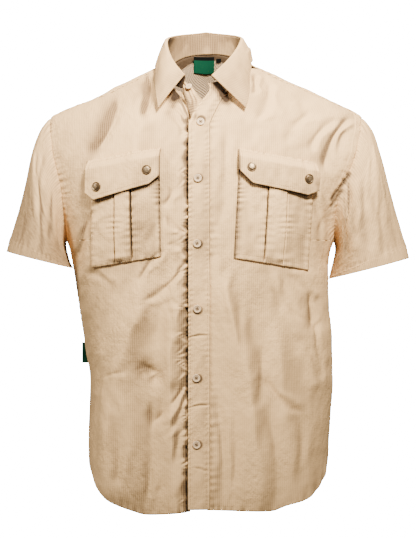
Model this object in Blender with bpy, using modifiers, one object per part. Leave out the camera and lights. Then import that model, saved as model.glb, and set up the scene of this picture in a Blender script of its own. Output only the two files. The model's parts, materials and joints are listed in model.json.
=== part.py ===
"""A short-sleeve outdoor shirt, hollow, as it hangs when it is worn.

The origin is in the middle of the neck, where the wearer holds the shirt up.
+Z is up and the buttoned front faces -Y. Left and right are the wearer's own,
so the left side is at +X.
"""
import math

import bpy
import numpy as np
from mathutils import Matrix, Vector

for old in list(bpy.data.objects):
    bpy.data.objects.remove(old, do_unlink=True)

# Cloth, and how far each layer lies from the one under it
CLOTH = 0.0018
SEAM_GAP = 0.0003
LAYER = 0.0024
LINING_LAYER = 0.0045
POCKET_LAYER = 0.0028
STRIP_LAYER = 0.0030

# Side names: the sign of X on each side of the shirt
SIDES = {"right": -1.0, "left": 1.0}

# Body: level sections from the hem to the neck
# height, right half width, left half width, front depth, back depth, squareness
BODY = (
    (-0.780, 0.194, 0.202, 0.140, 0.136, 2.3),
    (-0.700, 0.196, 0.204, 0.138, 0.131, 2.3),
    (-0.605, 0.199, 0.209, 0.133, 0.122, 2.3),
    (-0.537, 0.197, 0.213, 0.130, 0.119, 2.3),
    (-0.469, 0.208, 0.211, 0.130, 0.120, 2.3),
    (-0.384, 0.221, 0.205, 0.133, 0.125, 2.3),
    (-0.350, 0.226, 0.205, 0.134, 0.128, 2.3),
    (-0.300, 0.236, 0.213, 0.135, 0.133, 2.3),
    (-0.250, 0.2545, 0.229, 0.134, 0.138, 2.3),
    (-0.206, 0.269, 0.250, 0.130, 0.140, 2.3),
    (-0.178, 0.278, 0.265, 0.126, 0.1385, 2.3),
    (-0.150, 0.2835, 0.274, 0.120, 0.136, 2.25),
    (-0.122, 0.281, 0.2745, 0.112, 0.131, 2.15),
    (-0.106, 0.275, 0.269, 0.1065, 0.128, 2.05),
    (-0.092, 0.264, 0.262, 0.101, 0.124, 1.9),
    (-0.082, 0.248, 0.250, 0.097, 0.121, 1.75),
    (-0.071, 0.226, 0.230, 0.0925, 0.117, 1.6),
    (-0.061, 0.199, 0.209, 0.0885, 0.1135, 1.5),
    (-0.051, 0.176, 0.188, 0.084, 0.110, 1.42),
    (-0.041, 0.158, 0.168, 0.080, 0.106, 1.36),
    (-0.031, 0.137, 0.142, 0.076, 0.102, 1.32),
    (-0.020, 0.114, 0.117, 0.072, 0.0965, 1.38),
    (-0.010, 0.094, 0.093, 0.068, 0.090, 1.55),
    (-0.003, 0.080, 0.078, 0.066, 0.0855, 1.75),
    (0.005, 0.0745, 0.072, 0.064, 0.081, 1.9),
    (0.025, 0.071, 0.068, 0.060, 0.072, 2.0),
)
RIGHT_WIDTH, LEFT_WIDTH, FRONT_DEPTH, BACK_DEPTH, SQUARENESS = range(1, 6)
NECK_SEARCH_TOP = 0.040

# Hem: height by the angle round the body from the middle of the front
# angle, right side, left side
HEM = (
    (0.0, -0.7400, -0.7400),
    (27.0, -0.7490, -0.7430),
    (36.0, -0.7435, -0.7350),
    (50.0, -0.7310, -0.7270),
    (60.0, -0.7130, -0.7150),
    (75.0, -0.6800, -0.6900),
    (90.0, -0.6560, -0.6640),
    (105.0, -0.6680, -0.6720),
    (125.0, -0.7200, -0.7200),
    (150.0, -0.7600, -0.7600),
    (180.0, -0.7680, -0.7680),
)
HEM_ZONE_TOP = -0.640

# Armholes: a level oval loop on each side of the body
ARMHOLE_TOP = -0.092
ARMHOLE_BOTTOM = -0.300
ARMHOLE_FRONT = 0.065
ARMHOLE_BACK = 0.075
ARMHOLE_STEP = 15.0
YOKE_FRONT_ANGLE = 15.0
YOKE_BACK_ANGLE = 45.0

# Neck seam: an oval in plan, pulled to the right at the open front
NECK_HALF_WIDTH = 0.0755
NECK_FRONT = 0.0815
NECK_BACK = 0.0725
NECK_SHIFT_BACK = -0.0015
NECK_SHIFT_FRONT = -0.0131
NECK_END_ANGLE = 21.5

# Front edges: the placket's outer edge and the button band's inner edge
# height, placket edge, band edge
FRONT_EDGES = (
    (-0.780, -0.0300, 0.0040),
    (-0.1124, -0.0300, 0.0040),
    (-0.1009, -0.0260, 0.0030),
    (-0.0922, -0.0218, 0.0010),
    (-0.0825, -0.0163, -0.0020),
    (-0.0714, -0.0081, -0.0081),
    (-0.0602, 0.0030, -0.0140),
    (-0.0527, 0.0040, -0.0204),
    (-0.0445, -0.0025, -0.0308),
    (-0.0350, -0.0042, -0.0436),
    (0.0400, -0.0042, -0.0436),
)
PLACKET_WIDTH = 0.035
PLACKET_TUCK = 0.007
BAND_WIDTH = 0.034
BAND_TUCK = 0.0025

# Largest folds of the front, as soft troughs from one point to another
# first x, first z, second x, second z, half width, depth (a ridge is negative)
FRONT_FOLDS = (
    (-0.1150, -0.4056, -0.1256, -0.6912, 0.017, 0.0095),
    (-0.0995, -0.5117, -0.0830, -0.5230, 0.015, 0.0050),
    (-0.0520, -0.5450, -0.0780, -0.5900, 0.013, 0.0050),
    (-0.0780, -0.3560, -0.1016, -0.3760, 0.013, 0.0055),
    (-0.0950, -0.0350, -0.0995, -0.0900, 0.013, 0.0060),
    (-0.1494, -0.0778, -0.1778, -0.1494, 0.016, 0.0060),
    (0.2250, -0.1284, 0.2000, -0.1744, 0.013, 0.0050),
    (0.0250, -0.4056, 0.0260, -0.5950, 0.013, 0.0045),
    (0.0712, -0.5230, 0.0730, -0.7300, 0.020, 0.0085),
    (0.0898, -0.5199, 0.1448, -0.5770, 0.014, 0.0060),
    (0.1760, -0.4056, 0.1760, -0.4300, 0.015, 0.0070),
    (0.1448, -0.4317, 0.1800, -0.5350, 0.015, -0.0050),
)

# Folds of the back, of the same size and as uneven
BACK_FOLDS = (
    (-0.1000, -0.1700, -0.1120, -0.4300, 0.020, 0.0080),
    (0.0850, -0.1600, 0.1020, -0.4900, 0.020, 0.0075),
    (0.1550, -0.4500, 0.0600, -0.5900, 0.017, 0.0065),
    (-0.1500, -0.5000, -0.0500, -0.6500, 0.017, 0.0070),
    (0.0100, -0.3000, 0.0050, -0.4700, 0.018, -0.0040),
    (-0.0100, -0.5600, -0.0200, -0.7100, 0.019, 0.0060),
)
FOLD_FADE = 0.035
NECK_FADE = 0.020

# Sleeves: the outer line over the shoulder and the inner line under the arm
# share of the length, outer x, outer z, inner x, inner z, half depth
SLEEVE_RIGHT = (
    (0.00, 0.264, -0.092, 0.236, -0.300, 0.070),
    (0.12, 0.282, -0.115, 0.2395, -0.306, 0.074),
    (0.28, 0.2955, -0.148, 0.2395, -0.315, 0.078),
    (0.48, 0.305, -0.191, 0.2370, -0.325, 0.079),
    (0.72, 0.318, -0.245, 0.2335, -0.336, 0.078),
    (1.00, 0.340, -0.319, 0.2290, -0.347, 0.077),
)
SLEEVE_LEFT = (
    (0.00, 0.262, -0.092, 0.213, -0.300, 0.070),
    (0.12, 0.281, -0.118, 0.2170, -0.309, 0.074),
    (0.28, 0.2925, -0.149, 0.2175, -0.320, 0.076),
    (0.48, 0.305, -0.194, 0.2150, -0.333, 0.075),
    (0.72, 0.320, -0.250, 0.2115, -0.348, 0.073),
    (1.00, 0.343, -0.330, 0.2080, -0.365, 0.069),
)
SLEEVE_STEPS = (0.0, 0.04, 0.10, 0.18, 0.28, 0.39, 0.51, 0.64, 0.77, 0.89, 1.0)
SLEEVE_LAP = 0.0024

# Sleeve folds, from the top of the sleeve (0) to the front (90) and under (180)
# side, first angle, first share, second angle, second share, half width, depth
SLEEVE_FOLDS = (
    ("left", 40.0, 0.20, 62.0, 0.55, 0.013, -0.0045),
    ("left", 78.0, 0.25, 88.0, 0.75, 0.014, 0.0050),
    ("left", 300.0, 0.15, 285.0, 0.60, 0.015, 0.0050),
    ("right", 35.0, 0.25, 70.0, 0.60, 0.014, -0.0045),
    ("right", 95.0, 0.20, 100.0, 0.60, 0.014, 0.0045),
    ("right", 290.0, 0.20, 280.0, 0.65, 0.015, 0.0050),
)
SLEEVE_RADIUS = 0.072
SLEEVE_LENGTH = 0.240
SLEEVE_FOLD_FADE = 0.2

# Collar: the fold line over the stand, and the free edge of the leaf
# angle from the front, fold height
COLLAR_FOLD = (
    (NECK_END_ANGLE, -0.0310),
    (45.0, -0.0060),
    (70.0, 0.0210),
    (90.0, 0.0385),
    (115.0, 0.0475),
    (140.0, 0.0535),
    (180.0, 0.0600),
)
FOLD_HALF_WIDTH = 0.0625
FOLD_FRONT = 0.0890
FOLD_BACK = 0.0680
# angle from the front, right x, left x, y, z
LEAF_EDGE = (
    (NECK_END_ANGLE, -0.0800, 0.0640, -0.1050, -0.0840),
    (45.0, -0.0845, 0.0700, -0.0900, -0.0550),
    (65.0, -0.0870, 0.0735, -0.0520, -0.0250),
    (90.0, -0.0865, 0.0745, -0.0080, 0.0000),
    (115.0, -0.0810, 0.0745, 0.0370, 0.0030),
    (140.0, -0.0630, 0.0620, 0.0670, 0.0080),
    (180.0, -0.0015, -0.0015, 0.0830, 0.0120),
)
LEAF_CLEARANCE = 0.0078
LEAF_ROLL_OUT = 0.0062
LEAF_ROLL_UP = 0.0024
LEAF_CROWN = 0.0030
STAND_SEAM_GAP = 0.0014

# Pockets, given as seen from the front
# side, inner x top, inner x bottom, outer x top, outer x bottom,
# inner z top, inner z bottom, outer z top, outer z bottom
POCKETS = (
    ("right", -0.0765, -0.0745, -0.1900, -0.1880, -0.1640, -0.3281, -0.1810, -0.3465),
    ("left", 0.0530, 0.0436, 0.1765, 0.1655, -0.1640, -0.3305, -0.1860, -0.3500),
)
POCKET_PUFF = 0.0045
POCKET_ROWS = 9
# box pleat, as shares of the pocket's width from its inner edge: start, end
PLEATS = {"right": (0.42, 0.645), "left": (0.405, 0.647)}
PLEAT_RAMP = 0.012
PLEAT_HEIGHT = 0.0024

# Flaps
# side, inner x, outer x, inner z top, outer z top, inner side z, outer side z,
# inner corner x, inner corner z, outer corner x, outer corner z
FLAPS = (
    ("right", -0.0750, -0.1955, -0.1515, -0.1700, -0.1966, -0.2231,
     -0.0933, -0.2114, -0.1820, -0.2353),
    ("left", 0.0510, 0.1805, -0.1517, -0.1735, -0.1874, -0.2183,
     0.0735, -0.2098, 0.1616, -0.2266),
)
FLAP_RISE = 0.0100
FLAP_RISE_SHARE = 0.30
FLAP_DROP = 0.055
FLAP_ROWS = 6

# Snaps: side, x, z
SNAPS = (
    ("right", -0.1800, -0.2140),
    ("right", -0.0962, -0.1890),
    ("left", 0.0730, -0.1824),
    ("left", 0.1657, -0.2008),
)
SNAP_RADIUS = 0.0078
SNAP_HEIGHT = 0.0024
SNAP_STANDOFF = 0.0007

# Buttons
# x, z
BUTTON_PLACES = (
    (-0.0107, -0.1057),
    (-0.0150, -0.2005),
    (-0.0152, -0.3070),
    (-0.0154, -0.4138),
    (-0.0158, -0.5255),
    (-0.0156, -0.6332),
)
BUTTON_RADIUS = 0.00625
BUTTON_THICKNESS = 0.0028
BUTTON_HOLE_RADIUS = 0.0009
BUTTON_HOLE_SPREAD = 0.0015
BUTTON_STANDOFF = 0.0006

# Labels: centre x, width, top, bottom
NECK_LABEL = (-0.0064, 0.0425, 0.0225, -0.0050)
SIZE_TAB = (0.0222, 0.0090, 0.0190, 0.0123)
LABEL_CLOTH = 0.0008
LABEL_LAYER = 0.0020
TAB_LAYER = 0.0014
SIDE_TAG_TOP = -0.473
SIDE_TAG_BOTTOM = -0.508
SIDE_TAG_WIDTH = 0.0085
SIDE_TAG_GAP = 0.0004

MATERIALS = {
    # name: colour, roughness, metallic
    "shirt cloth": ((0.76, 0.60, 0.45), 0.85, 0.0),
    "mesh lining": ((0.55, 0.43, 0.31), 0.9, 0.0),
    "cream button": ((0.86, 0.76, 0.64), 0.4, 0.0),
    "bronze snap": ((0.42, 0.29, 0.17), 0.4, 0.8),
    "green label": ((0.01, 0.20, 0.11), 0.8, 0.0),
    "black tab": ((0.02, 0.02, 0.02), 0.8, 0.0),
}

shirt = bpy.data.collections.new("short_sleeve_shirt")
bpy.context.scene.collection.children.link(shirt)
cutters = bpy.data.collections.new("cutters")
bpy.context.scene.collection.children.link(cutters)


# Smooth curves through the rows of a table

def smooth_value(rows, column, at):
    """Value of one column where the first column is `at`, with no overshoot."""
    xs = [row[0] for row in rows]
    ys = [row[column] for row in rows]
    if at <= xs[0]:
        return ys[0]
    if at >= xs[-1]:
        return ys[-1]
    i = max(k for k in range(len(xs) - 1) if xs[k] <= at)
    step = xs[i + 1] - xs[i]
    share = (at - xs[i]) / step
    start_slope = knot_slope(xs, ys, i) * step
    end_slope = knot_slope(xs, ys, i + 1) * step
    square = share * share
    cube = square * share
    return ((2 * cube - 3 * square + 1) * ys[i] + (cube - 2 * square + share) * start_slope
            + (3 * square - 2 * cube) * ys[i + 1] + (cube - square) * end_slope)


def knot_slope(xs, ys, i):
    """Slope at row i: the harmonic mean of its two sides, or 0 at a peak."""
    if i == 0:
        return (ys[1] - ys[0]) / (xs[1] - xs[0])
    if i == len(xs) - 1:
        return (ys[-1] - ys[-2]) / (xs[-1] - xs[-2])
    before = (ys[i] - ys[i - 1]) / (xs[i] - xs[i - 1])
    after = (ys[i + 1] - ys[i]) / (xs[i + 1] - xs[i])
    if before * after <= 0:
        return 0.0
    return 2 * before * after / (before + after)


def ease(share):
    """0 to 1 with a soft start and end."""
    share = min(max(share, 0.0), 1.0)
    return share * share * (3 - 2 * share)


def lerp(a, b, share):
    return a + (b - a) * share


def bisect(value, low, high, rounds=40):
    """Where a falling function of one number crosses zero."""
    for _ in range(rounds):
        middle = (low + high) / 2
        if value(middle) > 0:
            low = middle
        else:
            high = middle
    return (low + high) / 2


# The form that the cloth lies on

def section(z, side):
    """Half width, front depth, back depth and squareness of a level section."""
    width = LEFT_WIDTH if side > 0 else RIGHT_WIDTH
    return (smooth_value(BODY, width, z), smooth_value(BODY, FRONT_DEPTH, z),
            smooth_value(BODY, BACK_DEPTH, z), smooth_value(BODY, SQUARENESS, z))


def form_point(side, angle, z):
    """Point at `angle` degrees from the middle of the front, towards `side`."""
    width, front, back, square = section(z, side)
    across = abs(math.sin(math.radians(angle))) ** (2 / square)
    along = abs(math.cos(math.radians(angle))) ** (2 / square)
    depth = -front if angle < 90.0 else back
    return Vector((side * width * across, depth * along, z))


def angle_at_x(side, x, z, behind=False):
    """Angle where the section at z reaches x, on the front or on the back."""
    width, _, _, square = section(z, side)
    reach = min(max(side * x / width, 0.0), 1.0) ** (square / 2)
    angle = math.degrees(math.asin(reach))
    return 180.0 - angle if behind else angle


def angle_at_y(side, y, z):
    """Angle where the section at z reaches y."""
    _, front, back, square = section(z, side)
    depth = front if y < 0 else back
    reach = min(abs(y) / depth, 1.0) ** (square / 2)
    angle = math.degrees(math.acos(reach))
    return angle if y < 0 else 180.0 - angle


def outside_value(point):
    """Below 0 inside the form, 0 on it and above 0 outside."""
    x, y, z = point
    width, front, back, square = section(z, 1.0 if x > 0 else -1.0)
    depth = front if y < 0 else back
    return (abs(x) / width) ** square + (abs(y) / depth) ** square - 1.0


def outward(point):
    """Unit normal of the form near a point."""
    small = 0.0004
    slope = []
    for axis in range(3):
        step = Vector((0.0, 0.0, 0.0))
        step[axis] = small
        slope.append(outside_value(point + step) - outside_value(point - step))
    slope = Vector(slope) / (2 * small)
    return slope.normalized(), slope.length


def clear_of_form(point, clearance):
    """The point, moved out until it stands `clearance` off the form."""
    point = Vector(point)
    for _ in range(6):
        normal, steepness = outward(point)
        distance = outside_value(point) / max(steepness, 1.0)
        if distance >= clearance:
            break
        point = point + normal * (clearance - distance)
    return point


def height_at(x, y):
    """Height of the form's upper side over a point in plan."""
    return bisect(lambda z: -outside_value((x, y, z)), -0.30, NECK_SEARCH_TOP)


# Neck seam and armholes

def neck_plan(side, angle):
    """Plan point of the neck seam, `angle` degrees from the front."""
    turn = math.radians(angle)
    shift = NECK_SHIFT_BACK + NECK_SHIFT_FRONT * ((1 + math.cos(turn)) / 2) ** 2
    depth = NECK_FRONT if angle < 90.0 else NECK_BACK
    return shift + side * NECK_HALF_WIDTH * math.sin(turn), -depth * math.cos(turn)


def neck_point(side, angle):
    x, y = neck_plan(side, angle)
    return Vector((x, y, height_at(x, y)))


def neck_at_height(side, z):
    """Neck seam point at height z."""
    angle = bisect(lambda a: z - neck_point(side, a).z, 0.0, 180.0, 30)
    return neck_point(side, angle)


def neck_height_at_x(x):
    """Height of the front half of the neck seam at x."""
    middle = neck_plan(1.0, 0.0)[0]
    side = 1.0 if x > middle else -1.0
    angle = bisect(lambda a: side * (x - neck_plan(side, a)[0]), 0.0, 89.0, 30)
    return neck_point(side, angle).z


def armhole_point(side, angle):
    """Armhole loop: 0 on the shoulder, 90 in front, 180 under the arm, 270 behind."""
    turn = math.radians(angle)
    middle = (ARMHOLE_TOP + ARMHOLE_BOTTOM) / 2
    z = middle + (ARMHOLE_TOP - ARMHOLE_BOTTOM) / 2 * math.cos(turn)
    reach = ARMHOLE_FRONT if math.sin(turn) > 0 else ARMHOLE_BACK
    y = -reach * math.sin(turn)
    if abs(y) < 1e-9:
        return Vector((side * section(z, side)[0], 0.0, z))
    return form_point(side, angle_at_y(side, y, z), z)


def armhole_height(angle):
    return armhole_point(1.0, angle).z


YOKE_FRONT_Y = armhole_point(1.0, YOKE_FRONT_ANGLE).y
YOKE_BACK_Z = armhole_height(360.0 - YOKE_BACK_ANGLE)


# Folds

def fold_depth(rows, across, up):
    """Sum of the troughs and ridges near a point of a panel."""
    depth = 0.0
    for x1, z1, x2, z2, width, low in rows:
        run_x = x2 - x1
        run_z = z2 - z1
        share = ((across - x1) * run_x + (up - z1) * run_z) / (run_x ** 2 + run_z ** 2)
        share = min(max(share, 0.0), 1.0)
        distance = math.hypot(across - x1 - share * run_x, up - z1 - share * run_z)
        depth += low * math.exp(-(distance / width) ** 2)
    return depth


def outer_angle(side, z, behind):
    """Angle of a panel's outer edge: side seam, armhole or yoke seam."""
    facing = 1.0 if behind else -1.0
    if z <= ARMHOLE_BOTTOM:
        return angle_at_y(side, facing * SEAM_GAP / 2, z)
    middle = (ARMHOLE_TOP + ARMHOLE_BOTTOM) / 2
    level = (z - middle) / (ARMHOLE_TOP - ARMHOLE_BOTTOM) * 2
    turn = math.acos(min(max(level, -1.0), 1.0))
    reach = ARMHOLE_BACK if behind else ARMHOLE_FRONT
    edge = max(reach * math.sin(turn), SEAM_GAP / 2)
    if not behind:
        edge = max(edge, 3 * SEAM_GAP - YOKE_FRONT_Y)
    return angle_at_y(side, facing * edge, z)


def panel_point(side, angle, z, lift, behind=False):
    """Point of the front or back panel's cloth, with its folds, moved out by `lift`."""
    point = form_point(side, angle, z)
    edge = form_point(side, outer_angle(side, z, behind), z)
    fade = ease((edge - point).length / FOLD_FADE)
    if z > ARMHOLE_BOTTOM and not behind:
        neck = neck_height_at_x(point.x) if abs(point.x) < NECK_HALF_WIDTH else 0.0
        fade *= ease((neck - z) / NECK_FADE)
    if behind:
        fade *= ease((YOKE_BACK_Z - z) / NECK_FADE)
    rows = BACK_FOLDS if behind else FRONT_FOLDS
    normal, _ = outward(point)
    return point + normal * (lift - fade * fold_depth(rows, point.x, z))


def front_at(x, z, lift):
    """Point over the fronts at a place seen from the front."""
    side = 1.0 if x > 0 else -1.0
    return panel_point(side, angle_at_x(side, x, z), z, lift)


def hem_height(side, angle):
    return smooth_value(HEM, 2 if side > 0 else 1, angle)


# Making objects

def material(name):
    """The named material, made on first use."""
    if name in bpy.data.materials:
        return bpy.data.materials[name]
    colour, roughness, metallic = MATERIALS[name]
    made = bpy.data.materials.new(name)
    made.use_nodes = True
    shader = made.node_tree.nodes["Principled BSDF"]
    shader.inputs["Base Color"].default_value = (*colour, 1.0)
    shader.inputs["Roughness"].default_value = roughness
    shader.inputs["Metallic"].default_value = metallic
    return made


def new_object(name, mesh, look, collection=shirt):
    made = bpy.data.objects.new(name, mesh)
    collection.objects.link(made)
    own = material(look).copy()
    own.name = name + " " + look
    mesh.materials.clear()
    mesh.materials.append(own)
    return made


def cloth_wall(name, rows, look, thickness=CLOTH, closed=False):
    """A sheet through rows of points, given its thickness by Solidify."""
    count = len(rows[0])
    points = [tuple(point) for row in rows for point in row]
    faces = []
    columns = count if closed else count - 1
    for r in range(len(rows) - 1):
        for c in range(columns):
            after = (c + 1) % count
            faces.append((r * count + c, r * count + after,
                          (r + 1) * count + after, (r + 1) * count + c))
    mesh = bpy.data.meshes.new(name)
    mesh.from_pydata(points, [], faces)
    mesh.shade_smooth()
    made = new_object(name, mesh, look)
    wall = made.modifiers.new("cloth thickness", "SOLIDIFY")
    wall.thickness = thickness
    wall.offset = 0.0
    return made


# Panels

def level_rows(top, bottom, count):
    return [lerp(bottom, top, i / (count - 1)) for i in range(count)]


def armhole_levels(first, last):
    """Heights of the armhole's own points, from under the arm up."""
    steps = int(round((first - last) / ARMHOLE_STEP))
    return [armhole_height(first - ARMHOLE_STEP * i) for i in range(steps + 1)]


FRONT_COLUMNS = 14
BACK_COLUMNS = 23
HEM_ROWS = 5
BODY_ROWS = 12
SHOULDER_ROWS = (-0.0860, -0.0760, -0.0660, -0.0560, -0.0470, -0.0390, -0.0310, -0.0235,
                 -0.0165, -0.0110)


def front_inner_angle(side, z):
    """Angle of a front's inner edge: tucked by the placket or band, then the neck."""
    if side > 0:
        x = smooth_value(FRONT_EDGES, 1, z) + PLACKET_WIDTH - PLACKET_TUCK
    else:
        x = smooth_value(FRONT_EDGES, 2, z) - BAND_WIDTH + BAND_TUCK
        if z < FRONT_EDGES[1][0]:
            x = FRONT_EDGES[1][1] + BAND_TUCK
    if z > neck_height_at_x(x):
        x = neck_at_height(side, z).x + side * SEAM_GAP
    return angle_at_x(side, x, z)


def front_panel(name, side):
    heights = level_rows(ARMHOLE_BOTTOM, HEM_ZONE_TOP, BODY_ROWS)
    heights += armhole_levels(180.0 - ARMHOLE_STEP, YOKE_FRONT_ANGLE)
    heights += list(SHOULDER_ROWS)
    rows = []
    for r in range(HEM_ROWS - 1):
        row = []
        inner = front_inner_angle(side, HEM_ZONE_TOP)
        outer = outer_angle(side, HEM_ZONE_TOP, False)
        for c in range(FRONT_COLUMNS):
            angle = lerp(inner, outer, c / (FRONT_COLUMNS - 1))
            z = lerp(hem_height(side, angle), HEM_ZONE_TOP, r / (HEM_ROWS - 1))
            row.append(panel_point(side, angle, z, 0.0))
        rows.append(row)
    for z in heights:
        inner = front_inner_angle(side, z)
        outer = outer_angle(side, z, False)
        rows.append([panel_point(side, lerp(inner, outer, c / (FRONT_COLUMNS - 1)), z, 0.0)
                     for c in range(FRONT_COLUMNS)])
    if side < 0:
        rows = [row[::-1] for row in rows]
    return cloth_wall(name, rows, "shirt cloth")


def around_back(share, edge_right, edge_left):
    """Side and angle at a share of the way round the back, from right to left."""
    turn = lerp(edge_right - 180.0, 180.0 - edge_left, share)
    return (1.0, 180.0 - turn) if turn > 0 else (-1.0, 180.0 + turn)


def back_panel():
    top = YOKE_BACK_Z - 2 * SEAM_GAP
    heights = level_rows(ARMHOLE_BOTTOM, HEM_ZONE_TOP, BODY_ROWS)
    heights += armhole_levels(180.0 - ARMHOLE_STEP, YOKE_BACK_ANGLE + ARMHOLE_STEP)
    heights.append(top)
    rows = []
    for r in range(HEM_ROWS - 1):
        row = []
        right = outer_angle(-1.0, HEM_ZONE_TOP, True)
        left = outer_angle(1.0, HEM_ZONE_TOP, True)
        for c in range(BACK_COLUMNS):
            side, angle = around_back(c / (BACK_COLUMNS - 1), right, left)
            z = lerp(hem_height(side, angle), HEM_ZONE_TOP, r / (HEM_ROWS - 1))
            row.append(panel_point(side, angle, z, 0.0, True))
        rows.append(row)
    for z in heights:
        right = outer_angle(-1.0, z, True)
        left = outer_angle(1.0, z, True)
        row = []
        for c in range(BACK_COLUMNS):
            side, angle = around_back(c / (BACK_COLUMNS - 1), right, left)
            row.append(panel_point(side, angle, z, 0.0, True))
        rows.append(row)
    return cloth_wall("back", [row[::-1] for row in rows], "shirt cloth")


def yoke_edge():
    """Outer edge of the yoke: right armhole, back seam, left armhole."""
    angles = [YOKE_FRONT_ANGLE]
    while angles[-1] > -YOKE_BACK_ANGLE:
        angles.append(angles[-1] - ARMHOLE_STEP)
    right = [armhole_point(-1.0, angle % 360.0) for angle in angles]
    left = [armhole_point(1.0, angle % 360.0) for angle in reversed(angles)]
    first = angle_at_y(-1.0, right[-1].y, YOKE_BACK_Z)
    last = angle_at_y(1.0, left[0].y, YOKE_BACK_Z)
    seam = []
    for i in range(1, YOKE_SEAM_STEPS):
        side, angle = around_back(i / YOKE_SEAM_STEPS, first, last)
        seam.append(form_point(side, angle, YOKE_BACK_Z))
    return right + seam + left


YOKE_SEAM_STEPS = 16
YOKE_ROWS = 9
# the lining stops just short of the neck seam and of the yoke's edges
LINING_NECK_SHARE = 0.06
LINING_EDGE_SHARE = 0.97
LINING_ROWS = 7


def neck_angle_at_y(side, y):
    return bisect(lambda a: y - neck_plan(side, a)[1], 0.0, 180.0, 30)


def yoke_grid(first, last, from_share, to_share, rows, lift):
    """Yoke points between two of its edge points, from the neck seam out."""
    edge = yoke_edge()
    right = neck_angle_at_y(-1.0, YOKE_FRONT_Y)
    left = neck_angle_at_y(1.0, YOKE_FRONT_Y)
    grid = []
    for r in range(rows):
        share = lerp(from_share, to_share, r / (rows - 1))
        row = []
        for i in range(first, last):
            side, angle = around_back(i / (len(edge) - 1), right, left)
            x, y = neck_plan(side, angle)
            px = lerp(x, edge[i].x, share)
            py = lerp(y, edge[i].y, share)
            point = Vector((px, py, height_at(px, py)))
            if share >= 1.0:
                point = edge[i].copy()
            normal, _ = outward(point)
            row.append(point + normal * lift)
        grid.append(row)
    return grid


def yoke():
    edge_count = len(yoke_edge())
    cloth_wall("yoke", yoke_grid(0, edge_count, 0.0, 1.0, YOKE_ROWS, 0.0), "shirt cloth")
    corner = int((YOKE_FRONT_ANGLE + YOKE_BACK_ANGLE) / ARMHOLE_STEP)
    rows = yoke_grid(corner, edge_count - corner, LINING_NECK_SHARE, LINING_EDGE_SHARE,
                     LINING_ROWS, -LINING_LAYER)
    cloth_wall("yoke_mesh", rows, "mesh lining", LABEL_CLOTH)


# Sleeves

def sleeve_plain(side, table, angle, share):
    """Point of an even sleeve tube, before it is fitted to its armhole."""
    outer = Vector((side * smooth_value(table, 1, share), 0.0, smooth_value(table, 2, share)))
    inner = Vector((side * smooth_value(table, 3, share), 0.0, smooth_value(table, 4, share)))
    depth = smooth_value(table, 5, share)
    middle = (outer + inner) / 2
    turn = math.radians(angle)
    return (middle + (outer - middle) * math.cos(turn)
            + Vector((0.0, -depth * math.sin(turn), 0.0)))


def sleeve_point(side, angle, share):
    table = SLEEVE_LEFT if side > 0 else SLEEVE_RIGHT
    point = sleeve_plain(side, table, angle, share)
    seam = armhole_point(side, angle)
    normal, _ = outward(seam)
    base = seam + normal * SLEEVE_LAP
    fitted = point + (base - sleeve_plain(side, table, angle, 0.0)) * (1 - share) ** 2
    middle = (sleeve_plain(side, table, 0.0, share) + sleeve_plain(side, table, 180.0, share)) / 2
    spoke = (fitted - middle).normalized()
    depth = 0.0
    for fold_side, a1, s1, a2, s2, width, low in SLEEVE_FOLDS:
        if SIDES[fold_side] != side:
            continue
        across = math.radians(1.0) * SLEEVE_RADIUS
        run_a = (a2 - a1) * across
        run_s = (s2 - s1) * SLEEVE_LENGTH
        da = (angle - a1) * across
        ds = (share - s1) * SLEEVE_LENGTH
        along = min(max((da * run_a + ds * run_s) / (run_a ** 2 + run_s ** 2), 0.0), 1.0)
        distance = math.hypot(da - along * run_a, ds - along * run_s)
        depth += low * math.exp(-(distance / width) ** 2)
    fade = ease(share / SLEEVE_FOLD_FADE) * ease((1 - share) / SLEEVE_FOLD_FADE)
    fitted = fitted - spoke * depth * fade
    return clear_of_form(fitted, SLEEVE_LAP)


def sleeve(name, side):
    count = int(360.0 / ARMHOLE_STEP)
    rows = []
    for share in SLEEVE_STEPS:
        rows.append([sleeve_point(side, ARMHOLE_STEP * i, share) for i in range(count)])
    if side < 0:
        rows = [[row[0]] + row[:0:-1] for row in rows]
    return cloth_wall(name, [row[::-1] for row in rows], "shirt cloth", closed=True)


# Collar

def fold_point(side, angle):
    """Point of the collar's fold line, `angle` degrees from the front."""
    turn = math.radians(angle)
    shift = NECK_SHIFT_BACK + NECK_SHIFT_FRONT * ((1 + math.cos(turn)) / 2) ** 2
    depth = FOLD_FRONT if angle < 90.0 else FOLD_BACK
    return Vector((shift + side * FOLD_HALF_WIDTH * math.sin(turn), -depth * math.cos(turn),
                   smooth_value(COLLAR_FOLD, 1, angle)))


COLLAR_COLUMNS = 31
STAND_ROWS = 4
LEAF_ROWS = 7


def collar_stations():
    """Side and angle of each collar column, from the right end round the back."""
    for i in range(COLLAR_COLUMNS):
        yield around_back(i / (COLLAR_COLUMNS - 1), NECK_END_ANGLE, NECK_END_ANGLE)


def collar_stand():
    rows = [[] for _ in range(STAND_ROWS)]
    for side, angle in collar_stations():
        seam = neck_point(side, angle)
        top = fold_point(side, angle)
        rise = (top - seam).normalized()
        start = seam + rise * STAND_SEAM_GAP
        for r in range(STAND_ROWS):
            rows[r].append(start.lerp(top, r / (STAND_ROWS - 1)))
    cloth_wall("collar_stand", rows, "shirt cloth")


def leaf_edge_point(side, angle):
    x = smooth_value(LEAF_EDGE, 2 if side > 0 else 1, angle)
    point = Vector((x, smooth_value(LEAF_EDGE, 3, angle), smooth_value(LEAF_EDGE, 4, angle)))
    return clear_of_form(point, LEAF_CLEARANCE)


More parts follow.
